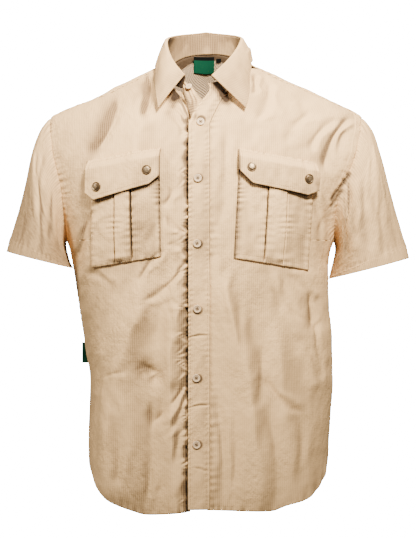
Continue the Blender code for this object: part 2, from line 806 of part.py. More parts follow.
def collar_leaf():
    rows = [[] for _ in range(LEAF_ROWS + 2)]
    for side, angle in collar_stations():
        top = fold_point(side, angle)
        seam = neck_point(side, angle)
        edge = leaf_edge_point(side, angle)
        out = Vector((top.x, top.y, 0.0)).normalized()
        rise = (top - seam).normalized()
        rows[0].append(top + rise * (CLOTH + SEAM_GAP))
        rows[1].append(top + rise * (CLOTH + SEAM_GAP + LEAF_ROLL_UP * 0.8)
                       + out * LEAF_ROLL_OUT * 0.45)
        start = top + out * LEAF_ROLL_OUT + rise * (CLOTH + LEAF_ROLL_UP * 0.2)
        for r in range(LEAF_ROWS):
            share = r / (LEAF_ROWS - 1)
            point = start.lerp(edge, share)
            point = point + out * LEAF_CROWN * math.sin(math.pi * share)
            rows[r + 2].append(clear_of_form(point, LEAF_CLEARANCE if share > 0.4 else 0.0))
    cloth_wall("collar_leaf", rows, "shirt cloth")


# Placket and button band

STRIP_COLUMNS = 3
STRIP_LOWER_ROWS = 22
STRIP_UPPER_ROWS = 9
STRIP_STEP = 0.028
STRIP_TOP = -0.048
STRIP_NECK_GAP = 0.0025
STRIP_HEM_RISE = 0.001


def front_strip(name, column, offset, width, lift):
    """A strip up the front, from the hem to the neck seam."""
    straight_top = FRONT_EDGES[1][0]
    lower = level_rows(straight_top - STRIP_STEP, HEM[0][1] + STRIP_HEM_RISE, STRIP_LOWER_ROWS)
    rows = []
    for z in lower:
        x = smooth_value(FRONT_EDGES, column, z) + offset
        rows.append([front_at(x + width * c / (STRIP_COLUMNS - 1), z, lift)
                     for c in range(STRIP_COLUMNS)])
    for z in level_rows(STRIP_TOP, straight_top, STRIP_UPPER_ROWS):
        share = (z - straight_top) / (STRIP_TOP - straight_top)
        x = smooth_value(FRONT_EDGES, column, z) + offset
        row = []
        for c in range(STRIP_COLUMNS):
            across = x + width * c / (STRIP_COLUMNS - 1)
            top = neck_height_at_x(across) - STRIP_NECK_GAP
            level = lerp(z, lerp(straight_top, top, share), ease(share))
            row.append(front_at(across, level, lift))
        rows.append(row)
    return cloth_wall(name, rows, "shirt cloth")


# Pockets and flaps

def pleat_rise(pleat, share):
    """Height of the box pleat over the pocket, at a share of its width."""
    start, end = pleat
    up = ease((share - start) / PLEAT_RAMP)
    down = ease((share - end + PLEAT_RAMP) / PLEAT_RAMP)
    return PLEAT_HEIGHT * (up - down)


def pocket(name, row):
    side_name, in_top, in_bottom, out_top, out_bottom, z_in, z_in_low, z_out, z_out_low = row
    pleat = PLEATS[side_name]
    shares = pocket_columns(pleat)
    rows = []
    for r in range(POCKET_ROWS):
        down = r / (POCKET_ROWS - 1)
        line = []
        for share in shares:
            x = lerp(lerp(in_top, out_top, share), lerp(in_bottom, out_bottom, share), down)
            z = lerp(lerp(z_in, z_out, share), lerp(z_in_low, z_out_low, share), down)
            puff = POCKET_PUFF * math.sin(math.pi * share) * math.sin(math.pi * down) ** 0.7
            line.append(front_at(x, z, POCKET_LAYER + puff + pleat_rise(pleat, share)))
        rows.append(line)
    if side_name == "left":
        rows = rows[::-1]
    return cloth_wall(name, rows, "shirt cloth")


def pocket_columns(pleat):
    """Shares of the width, with a pair of columns at each edge of the pleat."""
    start, end = pleat
    shares = [start * i / 3 for i in range(4)]
    shares += [start + PLEAT_RAMP, (start + end) / 2, end - PLEAT_RAMP]
    shares += [lerp(end, 1.0, i / 3) for i in range(4)]
    return shares


def flap(name, row):
    (side_name, inner, outer, z_in, z_out, low_in, low_out,
     corner_in, corner_in_z, corner_out, corner_out_z) = row
    first = (corner_in - inner) / (outer - inner)
    second = (corner_out - inner) / (outer - inner)
    shares = [0.0, first / 2, first]
    shares += [lerp(first, second, i / 4) for i in range(1, 5)]
    shares += [(second + 1.0) / 2, 1.0]
    rows = []
    for r in range(FLAP_ROWS):
        down = r / (FLAP_ROWS - 1)
        line = []
        for share in shares:
            x = lerp(inner, outer, share)
            top = lerp(z_in, z_out, share)
            bottom = np.interp(share, (0.0, first, second, 1.0),
                               (low_in, corner_in_z, corner_out_z, low_out))
            z = lerp(top, float(bottom), down)
            line.append(front_at(x, z, flap_lift((top - z) / FLAP_DROP)))
        rows.append(line)
    if side_name == "left":
        rows = rows[::-1]
    return cloth_wall(name, rows, "shirt cloth")


def flap_lift(drop):
    """How far a flap stands off the front, at a share of its drop."""
    return LAYER + FLAP_RISE * ease(drop / FLAP_RISE_SHARE)


# Buttons and snaps

def turned_mesh(name, profile, segments):
    """A mesh turned from a profile that runs from the top of the axis to its foot."""
    mesh = bpy.data.meshes.new(name)
    points = [(radius, 0.0, height) for radius, height in profile]
    mesh.from_pydata(points, [(i, i + 1) for i in range(len(points) - 1)], [])
    blank = bpy.data.objects.new(name, mesh)
    shirt.objects.link(blank)
    turn = blank.modifiers.new("turn", "SCREW")
    turn.steps = segments
    turn.render_steps = segments
    turn.use_merge_vertices = True
    turn.merge_threshold = 0.00005
    return blank


def hole_cutter():
    """Four thin cylinders through a button."""
    rods = []
    for right in (-1.0, 1.0):
        for up in (-1.0, 1.0):
            bpy.ops.mesh.primitive_cylinder_add(
                vertices=5, radius=BUTTON_HOLE_RADIUS, depth=4 * BUTTON_THICKNESS,
                location=(right * BUTTON_HOLE_SPREAD, up * BUTTON_HOLE_SPREAD, 0.0))
            rods.append(bpy.context.object)
    with bpy.context.temp_override(active_object=rods[0], selected_editable_objects=rods):
        bpy.ops.object.join()
    cutter = rods[0]
    cutter.name = "button_holes"
    for home in list(cutter.users_collection):
        home.objects.unlink(cutter)
    cutters.objects.link(cutter)
    cutter.hide_render = True
    cutter.display_type = "WIRE"
    return cutter


def baked_mesh(blank, name):
    """The blank's mesh with its modifiers in it; the blank is removed."""
    bpy.context.view_layer.update()
    graph = bpy.context.evaluated_depsgraph_get()
    mesh = bpy.data.meshes.new_from_object(blank.evaluated_get(graph))
    mesh.name = name
    bpy.data.objects.remove(blank, do_unlink=True)
    return mesh


def button_mesh():
    radius = BUTTON_RADIUS
    thick = BUTTON_THICKNESS
    profile = (
        (0.0, thick * 0.62),
        (radius * 0.60, thick * 0.62),
        (radius * 0.76, thick * 1.00),
        (radius * 0.94, thick * 0.94),
        (radius, thick * 0.60),
        (radius * 0.80, 0.0),
        (0.0, 0.0),
    )
    blank = turned_mesh("button_blank", profile, 14)
    holes = blank.modifiers.new("sewing holes", "BOOLEAN")
    holes.operation = "DIFFERENCE"
    holes.solver = "EXACT"
    holes.object = hole_cutter()
    return baked_mesh(blank, "four-hole button")


def snap_mesh():
    profile = (
        (0.0, SNAP_HEIGHT),
        (SNAP_RADIUS * 0.50, SNAP_HEIGHT * 0.90),
        (SNAP_RADIUS * 0.78, SNAP_HEIGHT * 0.62),
        (SNAP_RADIUS * 0.86, SNAP_HEIGHT * 0.66),
        (SNAP_RADIUS, SNAP_HEIGHT * 0.30),
        (SNAP_RADIUS, 0.0),
        (0.0, 0.0),
    )
    return baked_mesh(turned_mesh("snap_blank", profile, 16), "snap cap")


def place_on_front(made, x, z, lift):
    """Stand a turned piece on the front, facing straight out of it."""
    foot = front_at(x, z, lift)
    step = 0.004
    across = front_at(x + step, z, lift) - front_at(x - step, z, lift)
    up = front_at(x, z + step, lift) - front_at(x, z - step, lift)
    facing = across.cross(up).normalized()
    turn = facing.to_track_quat("Z", "Y").to_matrix().to_4x4()
    made.matrix_world = Matrix.Translation(foot) @ turn


def buttons():
    mesh = button_mesh()
    lift = STRIP_LAYER + CLOTH / 2 + BUTTON_STANDOFF
    for number, (x, z) in enumerate(BUTTON_PLACES, 1):
        made = new_object("button_" + str(number), mesh.copy(), "cream button")
        place_on_front(made, x, z, lift)


def snaps():
    mesh = snap_mesh()
    tops = {row[0]: row for row in FLAPS}
    for number, (side_name, x, z) in enumerate(SNAPS, 1):
        row = tops[side_name]
        share = (x - row[1]) / (row[2] - row[1])
        drop = (lerp(row[3], row[4], share) - z) / FLAP_DROP
        made = new_object("snap_" + str(number), mesh.copy(), "bronze snap")
        place_on_front(made, x, z, flap_lift(drop) + CLOTH / 2 + SNAP_STANDOFF)


# Labels

def inside_label(name, sizes, look, lift):
    centre, width, top, bottom = sizes
    rows = []
    for z in level_rows(top, bottom, 5):
        row = []
        for c in range(5):
            x = centre + width * (c / 4 - 0.5)
            side = 1.0 if x > 0 else -1.0
            point = form_point(side, angle_at_x(side, x, z, True), z)
            normal, _ = outward(point)
            row.append(point + normal * lift)
        rows.append(row)
    cloth_wall(name, rows, look, LABEL_CLOTH)


def side_tag():
    rows = []
    for z in level_rows(SIDE_TAG_TOP, SIDE_TAG_BOTTOM, 4):
        edge = -section(z, -1.0)[0] - CLOTH / 2 - SIDE_TAG_GAP
        rows.append([Vector((edge - SIDE_TAG_WIDTH * c / 2, 0.0, z)) for c in range(3)])
    cloth_wall("side_tag", rows, "green label", LABEL_CLOTH)


front_panel("front_right", -1.0)
front_panel("front_left", 1.0)
front_strip("placket", 1, 0.0, PLACKET_WIDTH, STRIP_LAYER)
front_strip("button_band", 2, -BAND_WIDTH, BAND_WIDTH, -STRIP_LAYER)
back_panel()
yoke()
sleeve("sleeve_right", -1.0)
sleeve("sleeve_left", 1.0)
collar_stand()
collar_leaf()
for pocket_row in POCKETS:
    pocket("pocket_" + pocket_row[0], pocket_row)
for flap_row in FLAPS:
    flap("flap_" + flap_row[0], flap_row)
buttons()
snaps()
inside_label("neck_label", NECK_LABEL, "green label", -LINING_LAYER - LABEL_LAYER)
inside_label("size_tab", SIZE_TAB, "black tab", -LINING_LAYER - TAB_LAYER)
side_tag()
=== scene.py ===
# %% [markdown]
# # A light short-sleeve outdoor shirt
#
# A sewn shirt is a few flat panels joined at seams. Its looks come from three things: the
# soft folds of each panel, the small puckers beside every row of stitches, and the weave.
# This lesson dresses a fixed frame of plain solids with thin cloth shells, one for each
# panel, and with the stitches, buttons, snaps and labels that sit on them.

# %% Load the frame
import json
import math

import bmesh
import bpy
import numpy as np
from mathutils import Matrix, Vector, kdtree

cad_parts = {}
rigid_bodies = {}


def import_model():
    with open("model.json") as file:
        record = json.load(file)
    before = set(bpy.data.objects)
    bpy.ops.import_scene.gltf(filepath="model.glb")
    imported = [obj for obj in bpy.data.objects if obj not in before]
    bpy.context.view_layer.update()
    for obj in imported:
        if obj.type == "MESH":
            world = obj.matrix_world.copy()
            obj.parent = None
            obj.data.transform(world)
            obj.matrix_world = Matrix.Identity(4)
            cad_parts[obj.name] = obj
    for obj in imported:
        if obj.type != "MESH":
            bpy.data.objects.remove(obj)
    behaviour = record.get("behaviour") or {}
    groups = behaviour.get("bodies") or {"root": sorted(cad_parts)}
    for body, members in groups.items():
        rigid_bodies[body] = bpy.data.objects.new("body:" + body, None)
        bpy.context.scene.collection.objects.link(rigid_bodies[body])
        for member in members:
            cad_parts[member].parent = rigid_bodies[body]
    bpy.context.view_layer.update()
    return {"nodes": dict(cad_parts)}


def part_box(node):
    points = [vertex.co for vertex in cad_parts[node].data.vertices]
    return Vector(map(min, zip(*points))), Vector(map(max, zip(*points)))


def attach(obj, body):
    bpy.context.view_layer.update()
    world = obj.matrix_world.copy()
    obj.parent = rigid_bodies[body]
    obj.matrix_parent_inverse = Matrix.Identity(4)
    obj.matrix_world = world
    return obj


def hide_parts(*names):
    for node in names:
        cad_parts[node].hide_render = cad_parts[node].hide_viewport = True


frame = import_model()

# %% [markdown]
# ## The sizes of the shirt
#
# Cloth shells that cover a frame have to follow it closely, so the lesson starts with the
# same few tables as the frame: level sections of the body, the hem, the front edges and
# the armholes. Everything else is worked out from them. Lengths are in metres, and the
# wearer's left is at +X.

RIGHT, LEFT = -1.0, 1.0
SIDES = ((RIGHT, "right"), (LEFT, "left"))


def metres(rows):
    """A table in millimetres as an array in metres."""
    return np.array(rows) / 1000


# height, right half width, left half width, front depth, back depth, squareness
BODY = (
    (-0.78, 0.194, 0.202, 0.14, 0.136, 2.3),
    (-0.7, 0.196, 0.204, 0.138, 0.131, 2.3),
    (-0.605, 0.199, 0.209, 0.133, 0.122, 2.3),
    (-0.537, 0.197, 0.213, 0.13, 0.119, 2.3),
    (-0.469, 0.208, 0.211, 0.13, 0.12, 2.3),
    (-0.384, 0.221, 0.205, 0.133, 0.125, 2.3),
    (-0.35, 0.226, 0.205, 0.134, 0.128, 2.3),
    (-0.3, 0.236, 0.213, 0.135, 0.133, 2.3),
    (-0.25, 0.2545, 0.229, 0.134, 0.138, 2.3),
    (-0.206, 0.269, 0.25, 0.13, 0.14, 2.3),
    (-0.178, 0.278, 0.265, 0.126, 0.1385, 2.3),
    (-0.15, 0.2835, 0.274, 0.12, 0.136, 2.25),
    (-0.122, 0.281, 0.2745, 0.112, 0.131, 2.15),
    (-0.106, 0.275, 0.269, 0.1065, 0.128, 2.05),
    (-0.092, 0.264, 0.262, 0.101, 0.124, 1.9),
    (-0.082, 0.248, 0.25, 0.097, 0.121, 1.75),
    (-0.071, 0.226, 0.23, 0.0925, 0.117, 1.6),
    (-0.061, 0.199, 0.209, 0.0885, 0.1135, 1.5),
    (-0.051, 0.176, 0.188, 0.084, 0.11, 1.42),
    (-0.041, 0.158, 0.168, 0.08, 0.106, 1.36),
    (-0.031, 0.137, 0.142, 0.076, 0.102, 1.32),
    (-0.02, 0.114, 0.117, 0.072, 0.0965, 1.38),
    (-0.01, 0.094, 0.093, 0.068, 0.09, 1.55),
    (-0.003, 0.08, 0.078, 0.066, 0.0855, 1.75),
    (0.005, 0.0745, 0.072, 0.064, 0.081, 1.9),
    (0.025, 0.071, 0.068, 0.06, 0.072, 2.0),
)
# angle from the middle of the front, right side height, left side height
HEM = (
    (0.0, -0.74, -0.74),
    (27.0, -0.749, -0.743),
    (36.0, -0.7435, -0.735),
    (50.0, -0.731, -0.727),
    (60.0, -0.713, -0.715),
    (75.0, -0.68, -0.69),
    (90.0, -0.656, -0.664),
    (105.0, -0.668, -0.672),
    (125.0, -0.72, -0.72),
    (150.0, -0.76, -0.76),
    (180.0, -0.768, -0.768),
)
HEM_ZONE_TOP = -0.64
ARMHOLE_TOP, ARMHOLE_BOTTOM = -0.092, -0.3
ARMHOLE_MIDDLE = (ARMHOLE_TOP + ARMHOLE_BOTTOM) / 2
ARMHOLE_HALF = (ARMHOLE_TOP - ARMHOLE_BOTTOM) / 2
ARMHOLE_FRONT, ARMHOLE_BACK = 0.065, 0.075
YOKE_FRONT_ANGLE, YOKE_BACK_ANGLE = 15.0, 45.0
# height, placket's outer edge, button band's inner edge, in millimetres
FRONT_EDGES = metres((
    (-780, -30, 4),
    (-112.4, -30, 4),
    (-100.9, -26, 3),
    (-92.2, -21.8, 1),
    (-82.5, -16.3, -2),
    (-71.4, -8.1, -8.1),
    (-60.2, 3, -14),
    (-52.7, 4, -20.4),
    (-44.5, -2.5, -30.8),
    (-35, -4.2, -43.6),
    (40, -4.2, -43.6),
))
STRAIGHT_TOP = FRONT_EDGES[1][0]
PLACKET_WIDTH, PLACKET_TUCK = 0.035, 0.007
BAND_WIDTH, BAND_TUCK = 0.034, 0.0025
SEAM_GAP = 0.0003
STRIP_LAYER = 0.003
NECK_HALF_WIDTH, NECK_FRONT, NECK_BACK = 0.0755, 0.0815, 0.0725
NECK_SHIFT_BACK, NECK_SHIFT_FRONT = -0.0015, -0.0131
NECK_END_ANGLE = 21.5
print("sections of the body:", len(BODY))

# %% [markdown]
# ## Curves and soft noise on arrays
#
# A shell of fine cloth has tens of thousands of points, so each helper takes whole arrays
# of numbers at once. `curve` draws a smooth line through a table with no overshoot, and
# `soft_noise` is a seeded lattice of random heights, blended smoothly.

# %% Array helpers


def curve(rows, column, at):
    """Smooth curve through one column of a table."""
    xs = np.array([row[0] for row in rows])
    ys = np.array([row[column] for row in rows])
    steps = np.diff(xs)
    rise = np.diff(ys) / steps
    slopes = np.zeros(len(xs))
    slopes[0], slopes[-1] = rise[0], rise[-1]
    product = rise[:-1] * rise[1:]
    total = rise[:-1] + rise[1:]
    slopes[1:-1] = np.where(product > 0, 2 * product / np.where(total == 0, 1, total), 0)
    at = np.clip(np.asarray(at, float), xs[0], xs[-1])
    i = np.clip(np.searchsorted(xs, at, side="right") - 1, 0, len(xs) - 2)
    t = (at - xs[i]) / steps[i]
    square, cube = t * t, t * t * t
    return ((2 * cube - 3 * square + 1) * ys[i] + (cube - 2 * square + t) * slopes[i] * steps[i]
            + (3 * square - 2 * cube) * ys[i + 1] + (cube - square) * slopes[i + 1] * steps[i])


def ease(share):
    share = np.clip(share, 0.0, 1.0)
    return share * share * (3 - 2 * share)


def mix(a, b, share):
    return a + (b - a) * share


def bell(distance, width):
    """1 at no distance, and nearly 0 at twice the width."""
    return np.exp(-(distance / width) ** 2)


def unit(vectors):
    return vectors / np.linalg.norm(vectors, axis=-1, keepdims=True)


def run_along(line):
    """Length from the start of a line to each of its points."""
    return np.concatenate([[0.0], np.cumsum(np.linalg.norm(np.diff(line, axis=0), axis=1))])


def places_on(line, lengths):
    """Points of a line at the given lengths from its start."""
    run = run_along(line)
    return np.stack([np.interp(lengths, run, line[:, k]) for k in range(3)], -1)


def bisect(value, low, high):
    """Where a falling function crosses zero, for each entry of an array."""
    for _ in range(36):
        middle = (low + high) / 2
        above = value(middle) > 0
        low = np.where(above, middle, low)
        high = np.where(above, high, middle)
    return (low + high) / 2


def soft_noise(u, v, cell, seed):
    """Smooth random heights from -1 to 1; `cell` is the size of a bump in metres."""
    rows, columns = 67, 71
    lattice = np.random.RandomState(seed).uniform(-1, 1, (rows, columns))
    a, b = np.asarray(u) / cell + 500.0, np.asarray(v) / cell + 500.0
    i, j = np.floor(a).astype(int), np.floor(b).astype(int)
    s, t = ease(a - i), ease(b - j)
    i0, i1, j0, j1 = i % rows, (i + 1) % rows, j % columns, (j + 1) % columns
    return mix(mix(lattice[i0, j0], lattice[i1, j0], s), mix(lattice[i0, j1], lattice[i1, j1], s), t)


print("noise sample:", round(float(soft_noise(0.12, 0.34, 0.02, 5)), 3))

# %% [markdown]
# ## The form under the cloth
#
# The body is a stack of level ovals. `form` gives a point of it from a side, an angle round
# from the middle of the front, and a height. `outward` is the direction in which a layer of
# cloth is lifted off it.

# %% The form


def section(z, side):
    width = np.where(np.asarray(side) > 0, curve(BODY, 2, z), curve(BODY, 1, z))
    return width, curve(BODY, 3, z), curve(BODY, 4, z), curve(BODY, 5, z)


def form(side, angle, z):
    """Points of the form as an array with x, y, z last."""
    side, angle, z = np.broadcast_arrays(np.asarray(side, float), np.asarray(angle, float),
                                         np.asarray(z, float))
    width, front, back, square = section(z, side)
    across = np.abs(np.sin(np.radians(angle))) ** (2 / square)
    along = np.abs(np.cos(np.radians(angle))) ** (2 / square)
    return np.stack([side * width * across, np.where(angle < 90.0, -front, back) * along, z], -1)


def angle_at_x(side, x, z, behind=False):
    width, _, _, square = section(z, side)
    angle = np.degrees(np.arcsin(np.clip(side * x / width, 0.0, 1.0) ** (square / 2)))
    return 180.0 - angle if behind else angle


def angle_at_y(side, y, z):
    _, front, back, square = section(z, side)
    reach = np.clip(np.abs(y) / np.where(y < 0, front, back), 0.0, 1.0) ** (square / 2)
    angle = np.degrees(np.arccos(reach))
    return np.where(y < 0, angle, 180.0 - angle)


def outside(points):
    """Below 0 inside the form, 0 on it, above 0 outside."""
    x, y, z = points[..., 0], points[..., 1], points[..., 2]
    width, front, back, square = section(z, np.where(x > 0, LEFT, RIGHT))
    return (np.abs(x) / width) ** square + (np.abs(y) / np.where(y < 0, front, back)) ** square - 1


def steepness(points):
    nudge = 0.0004
    slope = np.empty_like(points)
    for axis in range(3):
        step = np.zeros(3)
        step[axis] = nudge
        slope[..., axis] = (outside(points + step) - outside(points - step)) / (2 * nudge)
    return slope


def outward(points):
    return unit(steepness(points))


def lifted(points, height):
    """The points, moved straight out of the form by a height for each."""
    return points + outward(points) * np.asarray(height)[..., None]


def clear_of_form(points, clearance):
    """The points, moved out until they stand `clearance` off the form."""
    points = points.copy()
    for _ in range(6):
        slope = steepness(points)
        size = np.linalg.norm(slope, axis=-1)
        short = clearance - outside(points) / np.maximum(size, 1.0)
        points += slope / size[..., None] * np.maximum(short, 0.0)[..., None]
    return points


def height_at(x, y):
    """Height of the form's upper side over a place in plan."""
    x, y = np.broadcast_arrays(np.asarray(x, float), np.asarray(y, float))
    return bisect(lambda z: -outside(np.stack([x, y, z], -1)), np.full(x.shape, -0.3),
                  np.full(x.shape, 0.04))


print("half width at the chest:", round(float(section(-0.206, RIGHT)[0]), 3))

# %% [markdown]
# ## Seams of the body
#
# Two loops rule the panels: the neck seam, an oval that the open front pulls to one side,
# and the armholes, upright ovals on each side. A front ends at its side seam, its armhole and
# the yoke seam, and `outer_angle` finds that edge at any height.

# %% Neck and armholes


def neck_oval(side, angle, half_width, front, back):
    turn = np.radians(angle)
    shift = NECK_SHIFT_BACK + NECK_SHIFT_FRONT * ((1 + np.cos(turn)) / 2) ** 2
    depth = np.where(angle < 90.0, front, back)
    return shift + side * half_width * np.sin(turn), -depth * np.cos(turn)


def neck_plan(side, angle):
    return neck_oval(side, angle, NECK_HALF_WIDTH, NECK_FRONT, NECK_BACK)


def neck_point(side, angle):
    x, y = neck_plan(side, np.asarray(angle, float))
    return np.stack([x, y, height_at(x, y)], -1)


NECK_CURVE = np.concatenate([neck_point(RIGHT, np.linspace(179.9, 0.0, 240)),
                             neck_point(LEFT, np.linspace(0.0, 179.9, 240))[1:]])


def neck_height_at_x(x):
    """Height of the front half of the neck seam at x."""
    front = NECK_CURVE[NECK_CURVE[:, 1] < 0]
    order = np.argsort(front[:, 0])
    return np.interp(x, front[order, 0], front[order, 2])


def neck_x_at_height(side, z):
    keep = np.sign(NECK_CURVE[:, 0] - neck_plan(LEFT, 0.0)[0]) == side
    part = NECK_CURVE[keep & (NECK_CURVE[:, 1] < 0)]
    order = np.argsort(part[:, 2])
    return np.interp(z, part[order, 2], part[order, 0])


def armhole(side, angle):
    """Armhole loop: 0 on the shoulder, 90 in front, 180 under the arm, 270 behind."""
    turn = np.radians(np.asarray(angle, float))
    z = ARMHOLE_MIDDLE + ARMHOLE_HALF * np.cos(turn)
    y = -np.where(np.sin(turn) > 0, ARMHOLE_FRONT, ARMHOLE_BACK) * np.sin(turn)
    points = form(side, angle_at_y(side, y, z), z)
    return np.where((np.abs(y) < 1e-9)[..., None],
                    np.stack([side * section(z, side)[0], np.zeros(z.shape), z], -1), points)


YOKE_FRONT_Y = float(armhole(LEFT, YOKE_FRONT_ANGLE)[1])
YOKE_BACK_Z = float(armhole(LEFT, 360.0 - YOKE_BACK_ANGLE)[2])


def outer_angle(side, z, behind):
    """Angle of a panel's outer edge: side seam, armhole or yoke seam."""
    facing = 1.0 if behind else -1.0
    turn = np.arccos(np.clip((z - ARMHOLE_MIDDLE) / ARMHOLE_HALF, -1.0, 1.0))
    reach = ARMHOLE_BACK if behind else ARMHOLE_FRONT
    edge = np.maximum(reach * np.sin(turn), SEAM_GAP / 2)
    if not behind:
        edge = np.maximum(edge, 3 * SEAM_GAP - YOKE_FRONT_Y)
    edge = np.where(z <= ARMHOLE_BOTTOM, SEAM_GAP / 2, edge)
    return angle_at_y(side, facing * edge, z)


print("yoke seams: front y", round(YOKE_FRONT_Y, 4), "back z", round(YOKE_BACK_Z, 4))

# %% [markdown]
# ## What makes cloth look like cloth
#
# Three reliefs are added to each panel. Large folds are soft troughs and long ridges, with
# their ends faded out. Creases are narrower, and each has a small ridge beside it, as bent
# cloth does. Near a seam the thread draws the cloth in and puckers it, so the distance to
# the nearest seam and the place along it decide how high the small waves are.
#
# Every shell also keeps its relief, with painted shadows added, as an attribute of its
# points, from which the finishes paint shade into the hollows and the gaps. `turned_away`
# adds painted shade on the side of each fold that leans away from the upper left and a
# painted highlight on the side that leans towards it, so a fold reads as a fold in an even light.

# %% Relief helpers


def folds(rows, across, up):
    """Sum of soft troughs: first x, first z, second x, second z, half width, depth."""
    depth = np.zeros(np.shape(across))
    for x1, z1, x2, z2, width, low in rows:
        run_x, run_z = x2 - x1, z2 - z1
        share = ((across - x1) * run_x + (up - z1) * run_z) / (run_x ** 2 + run_z ** 2)
        share = np.clip(share, 0.0, 1.0)
        distance = np.hypot(across - x1 - share * run_x, up - z1 - share * run_z)
        length = np.hypot(run_x, run_z)
        start = np.clip(share * length / 0.11, 0.0, 1.0)
        taper = 0.3 + 0.7 * start if length > 0.1 else 1.0
        depth += low * taper * bell(distance, width)
    return depth


def ridges(rows, across, up):
    """Long folds with a crest line; each side falls away over its own reach."""
    height = np.zeros(np.shape(across))
    for crest, left, right, high in rows:
        line = np.array(crest)[::-1]
        low, top = line[0, 1], line[-1, 1]
        off = across - np.interp(up, line[:, 1], line[:, 0])
        spread = 0.65 + 0.55 * ease((top - up) / (top - low))
        reach = np.where(off < 0, left, right) * spread
        ends = ease((top + 0.035 - up) / 0.11) * ease((up - low + 0.09) / 0.08)
        height += high * ends * np.exp(-(np.abs(off) / reach) ** 1.45)
    return height


def creases(rows, across, up):
    """Bent narrow creases: x1, z1, x2, z2, bow, half width, depth; a ridge runs beside each."""
    depth = np.zeros(np.shape(across))
    for x1, z1, x2, z2, bow, width, low in rows:
        run = np.array([x2 - x1, z2 - z1])
        length = np.hypot(*run)
        run = run / length
        along = (across - x1) * run[0] + (up - z1) * run[1]
        off = (up - z1) * run[0] - (across - x1) * run[1]
        share = along / length
        off = off - bow * 4 * share * (1 - share)
        ends = ease(share * 4 + 0.5) * ease((1 - share) * 4 + 0.5)
        wide = width * (1 + 0.35 * np.sin(share * 7.0 + x1 * 90.0))
        depth += low * ends * (bell(off, wide) - 0.45 * bell(off - 1.9 * wide, 1.1 * wide))
    return depth


def seam_reach(points, seam):
    """Distance from each point to a seam line, and the length along the seam there."""
    fine = np.arange(0.0, run_along(seam)[-1], 0.0015)
    dense = places_on(seam, fine)
    tree = kdtree.KDTree(len(dense))
    for i, point in enumerate(dense):
        tree.insert(point, i)
    tree.balance()
    found = [tree.find(point) for point in points.reshape(-1, 3)]
    distance = np.array([hit[2] for hit in found]).reshape(points.shape[:-1])
    along = fine[np.array([hit[1] for hit in found])].reshape(points.shape[:-1])
    return distance, along


def puckers(distance, along, pitch, height, reach, seed):
    """Small uneven waves square to a seam; `pitch`, `height` and `reach` are in metres."""
    wander = soft_noise(along, distance * 0.4, 3.1 * pitch, seed)
    size = 0.62 + 0.55 * soft_noise(along, distance * 0.3, 2.3 * pitch, seed + 1)
    far = reach * (0.75 + 0.5 * soft_noise(along, 0.0 * along, 2.7 * pitch, seed + 2))
    return height * size * np.sin(2 * np.pi * (along / pitch + 0.9 * wander)) * bell(distance, far)


def crumple(u, v, seed, height):
    """The slight unevenness of light cloth that has been worn and washed."""
    return height * (1.6 * soft_noise(u, v * 0.7, 0.052, seed)
                     + 0.9 * soft_noise(u, v * 0.7, 0.023, seed + 1)
                     + 0.55 * soft_noise(u, v * 0.7, 0.0105, seed + 2))


# %% Making a shell
def new_object(name, data):
    made = bpy.data.objects.new(name, data)
    bpy.context.scene.collection.objects.link(made)
    return made


def finish_by(piece, kind, name="finish", **values):
    """Apply one modifier to a piece."""
    bpy.ops.object.select_all(action="DESELECT")
    piece.select_set(True)
    bpy.context.view_layer.objects.active = piece
    made = piece.modifiers.new(name, kind)
    for key, value in values.items():
        setattr(made, key, value)
    bpy.ops.object.modifier_apply(modifier=made.name)


# where a fold's painted highlight faces, and how much painted shade a fold's lean is worth
UPPER_LEFT = np.array([-0.8, 0.0, 0.45])
LEAN_SHADE = 0.013


def grid_normals(points):
    return unit(np.cross(np.gradient(points, axis=1), np.gradient(points, axis=0)))


def turned_away(points, smooth=None):
    """How far each fold turns from the upper left; negative where it turns towards it."""
    facing = grid_normals(points)
    plain = outward(points) if smooth is None else grid_normals(smooth)
    facing *= np.sign(np.sum(facing * plain, axis=-1, keepdims=True))
    return np.clip(np.sum((plain - facing) * UPPER_LEFT, axis=-1), -0.5, 0.5)


def shell(name, points, uv, relief_shade, thickness=0.0008, closed=False, flip=False, lean=0.0):
    """A thin closed cloth shell through a grid of points, with a UV map in metres."""
    rows, columns = points.shape[:2]
    # painted shade and highlight from how each fold leans, added to the relief
    if lean:
        relief_shade = relief_shade + lean * turned_away(points)
    r, c = np.meshgrid(np.arange(rows - 1), np.arange(columns if closed else columns - 1),
                       indexing="ij")
    after = (c + 1) % columns
    corners = np.stack([r * columns + c, r * columns + after, (r + 1) * columns + after,
                        (r + 1) * columns + c], -1).reshape(-1, 4)
    wide = np.concatenate([uv, (uv[:, -1] + (uv[:, -1] - uv[:, -2]))[:, None]], 1)
    loops = np.stack([wide[r, c], wide[r, c + 1], wide[r + 1, c + 1], wide[r + 1, c]], -2)
    loops = loops.reshape(-1, 4, 2)
    if flip:
        corners, loops = corners[:, ::-1], loops[:, ::-1]
    mesh = bpy.data.meshes.new(name)
    mesh.from_pydata(points.reshape(-1, 3).tolist(), [], corners.tolist())
    layer = mesh.uv_layers.new(name="cloth")
    layer.data.foreach_set("uv", loops.reshape(-1).astype(np.float32))
    dip = mesh.attributes.new("relief_shade", "FLOAT", "POINT")
    dip.data.foreach_set("value", relief_shade.reshape(-1).astype(np.float32))
    mesh.shade_smooth()
    piece = new_object(name, mesh)
    finish_by(piece, "SOLIDIFY", "cloth thickness", thickness=thickness, offset=0.0)
    return piece


def measured_uv(points):
    """Lengths across and up a grid, in metres, as its UV map."""
    across = np.linalg.norm(np.diff(points, axis=1), axis=2)
    up = np.linalg.norm(np.diff(points, axis=0), axis=2)
    u = np.concatenate([np.zeros((points.shape[0], 1)), np.cumsum(across, 1)], 1)
    u -= u[:, u.shape[1] // 2][:, None]
    v = np.concatenate([np.zeros((1, points.shape[1])), np.cumsum(up, 0)], 0)
    return np.stack([u, v], -1)


print("helpers ready")

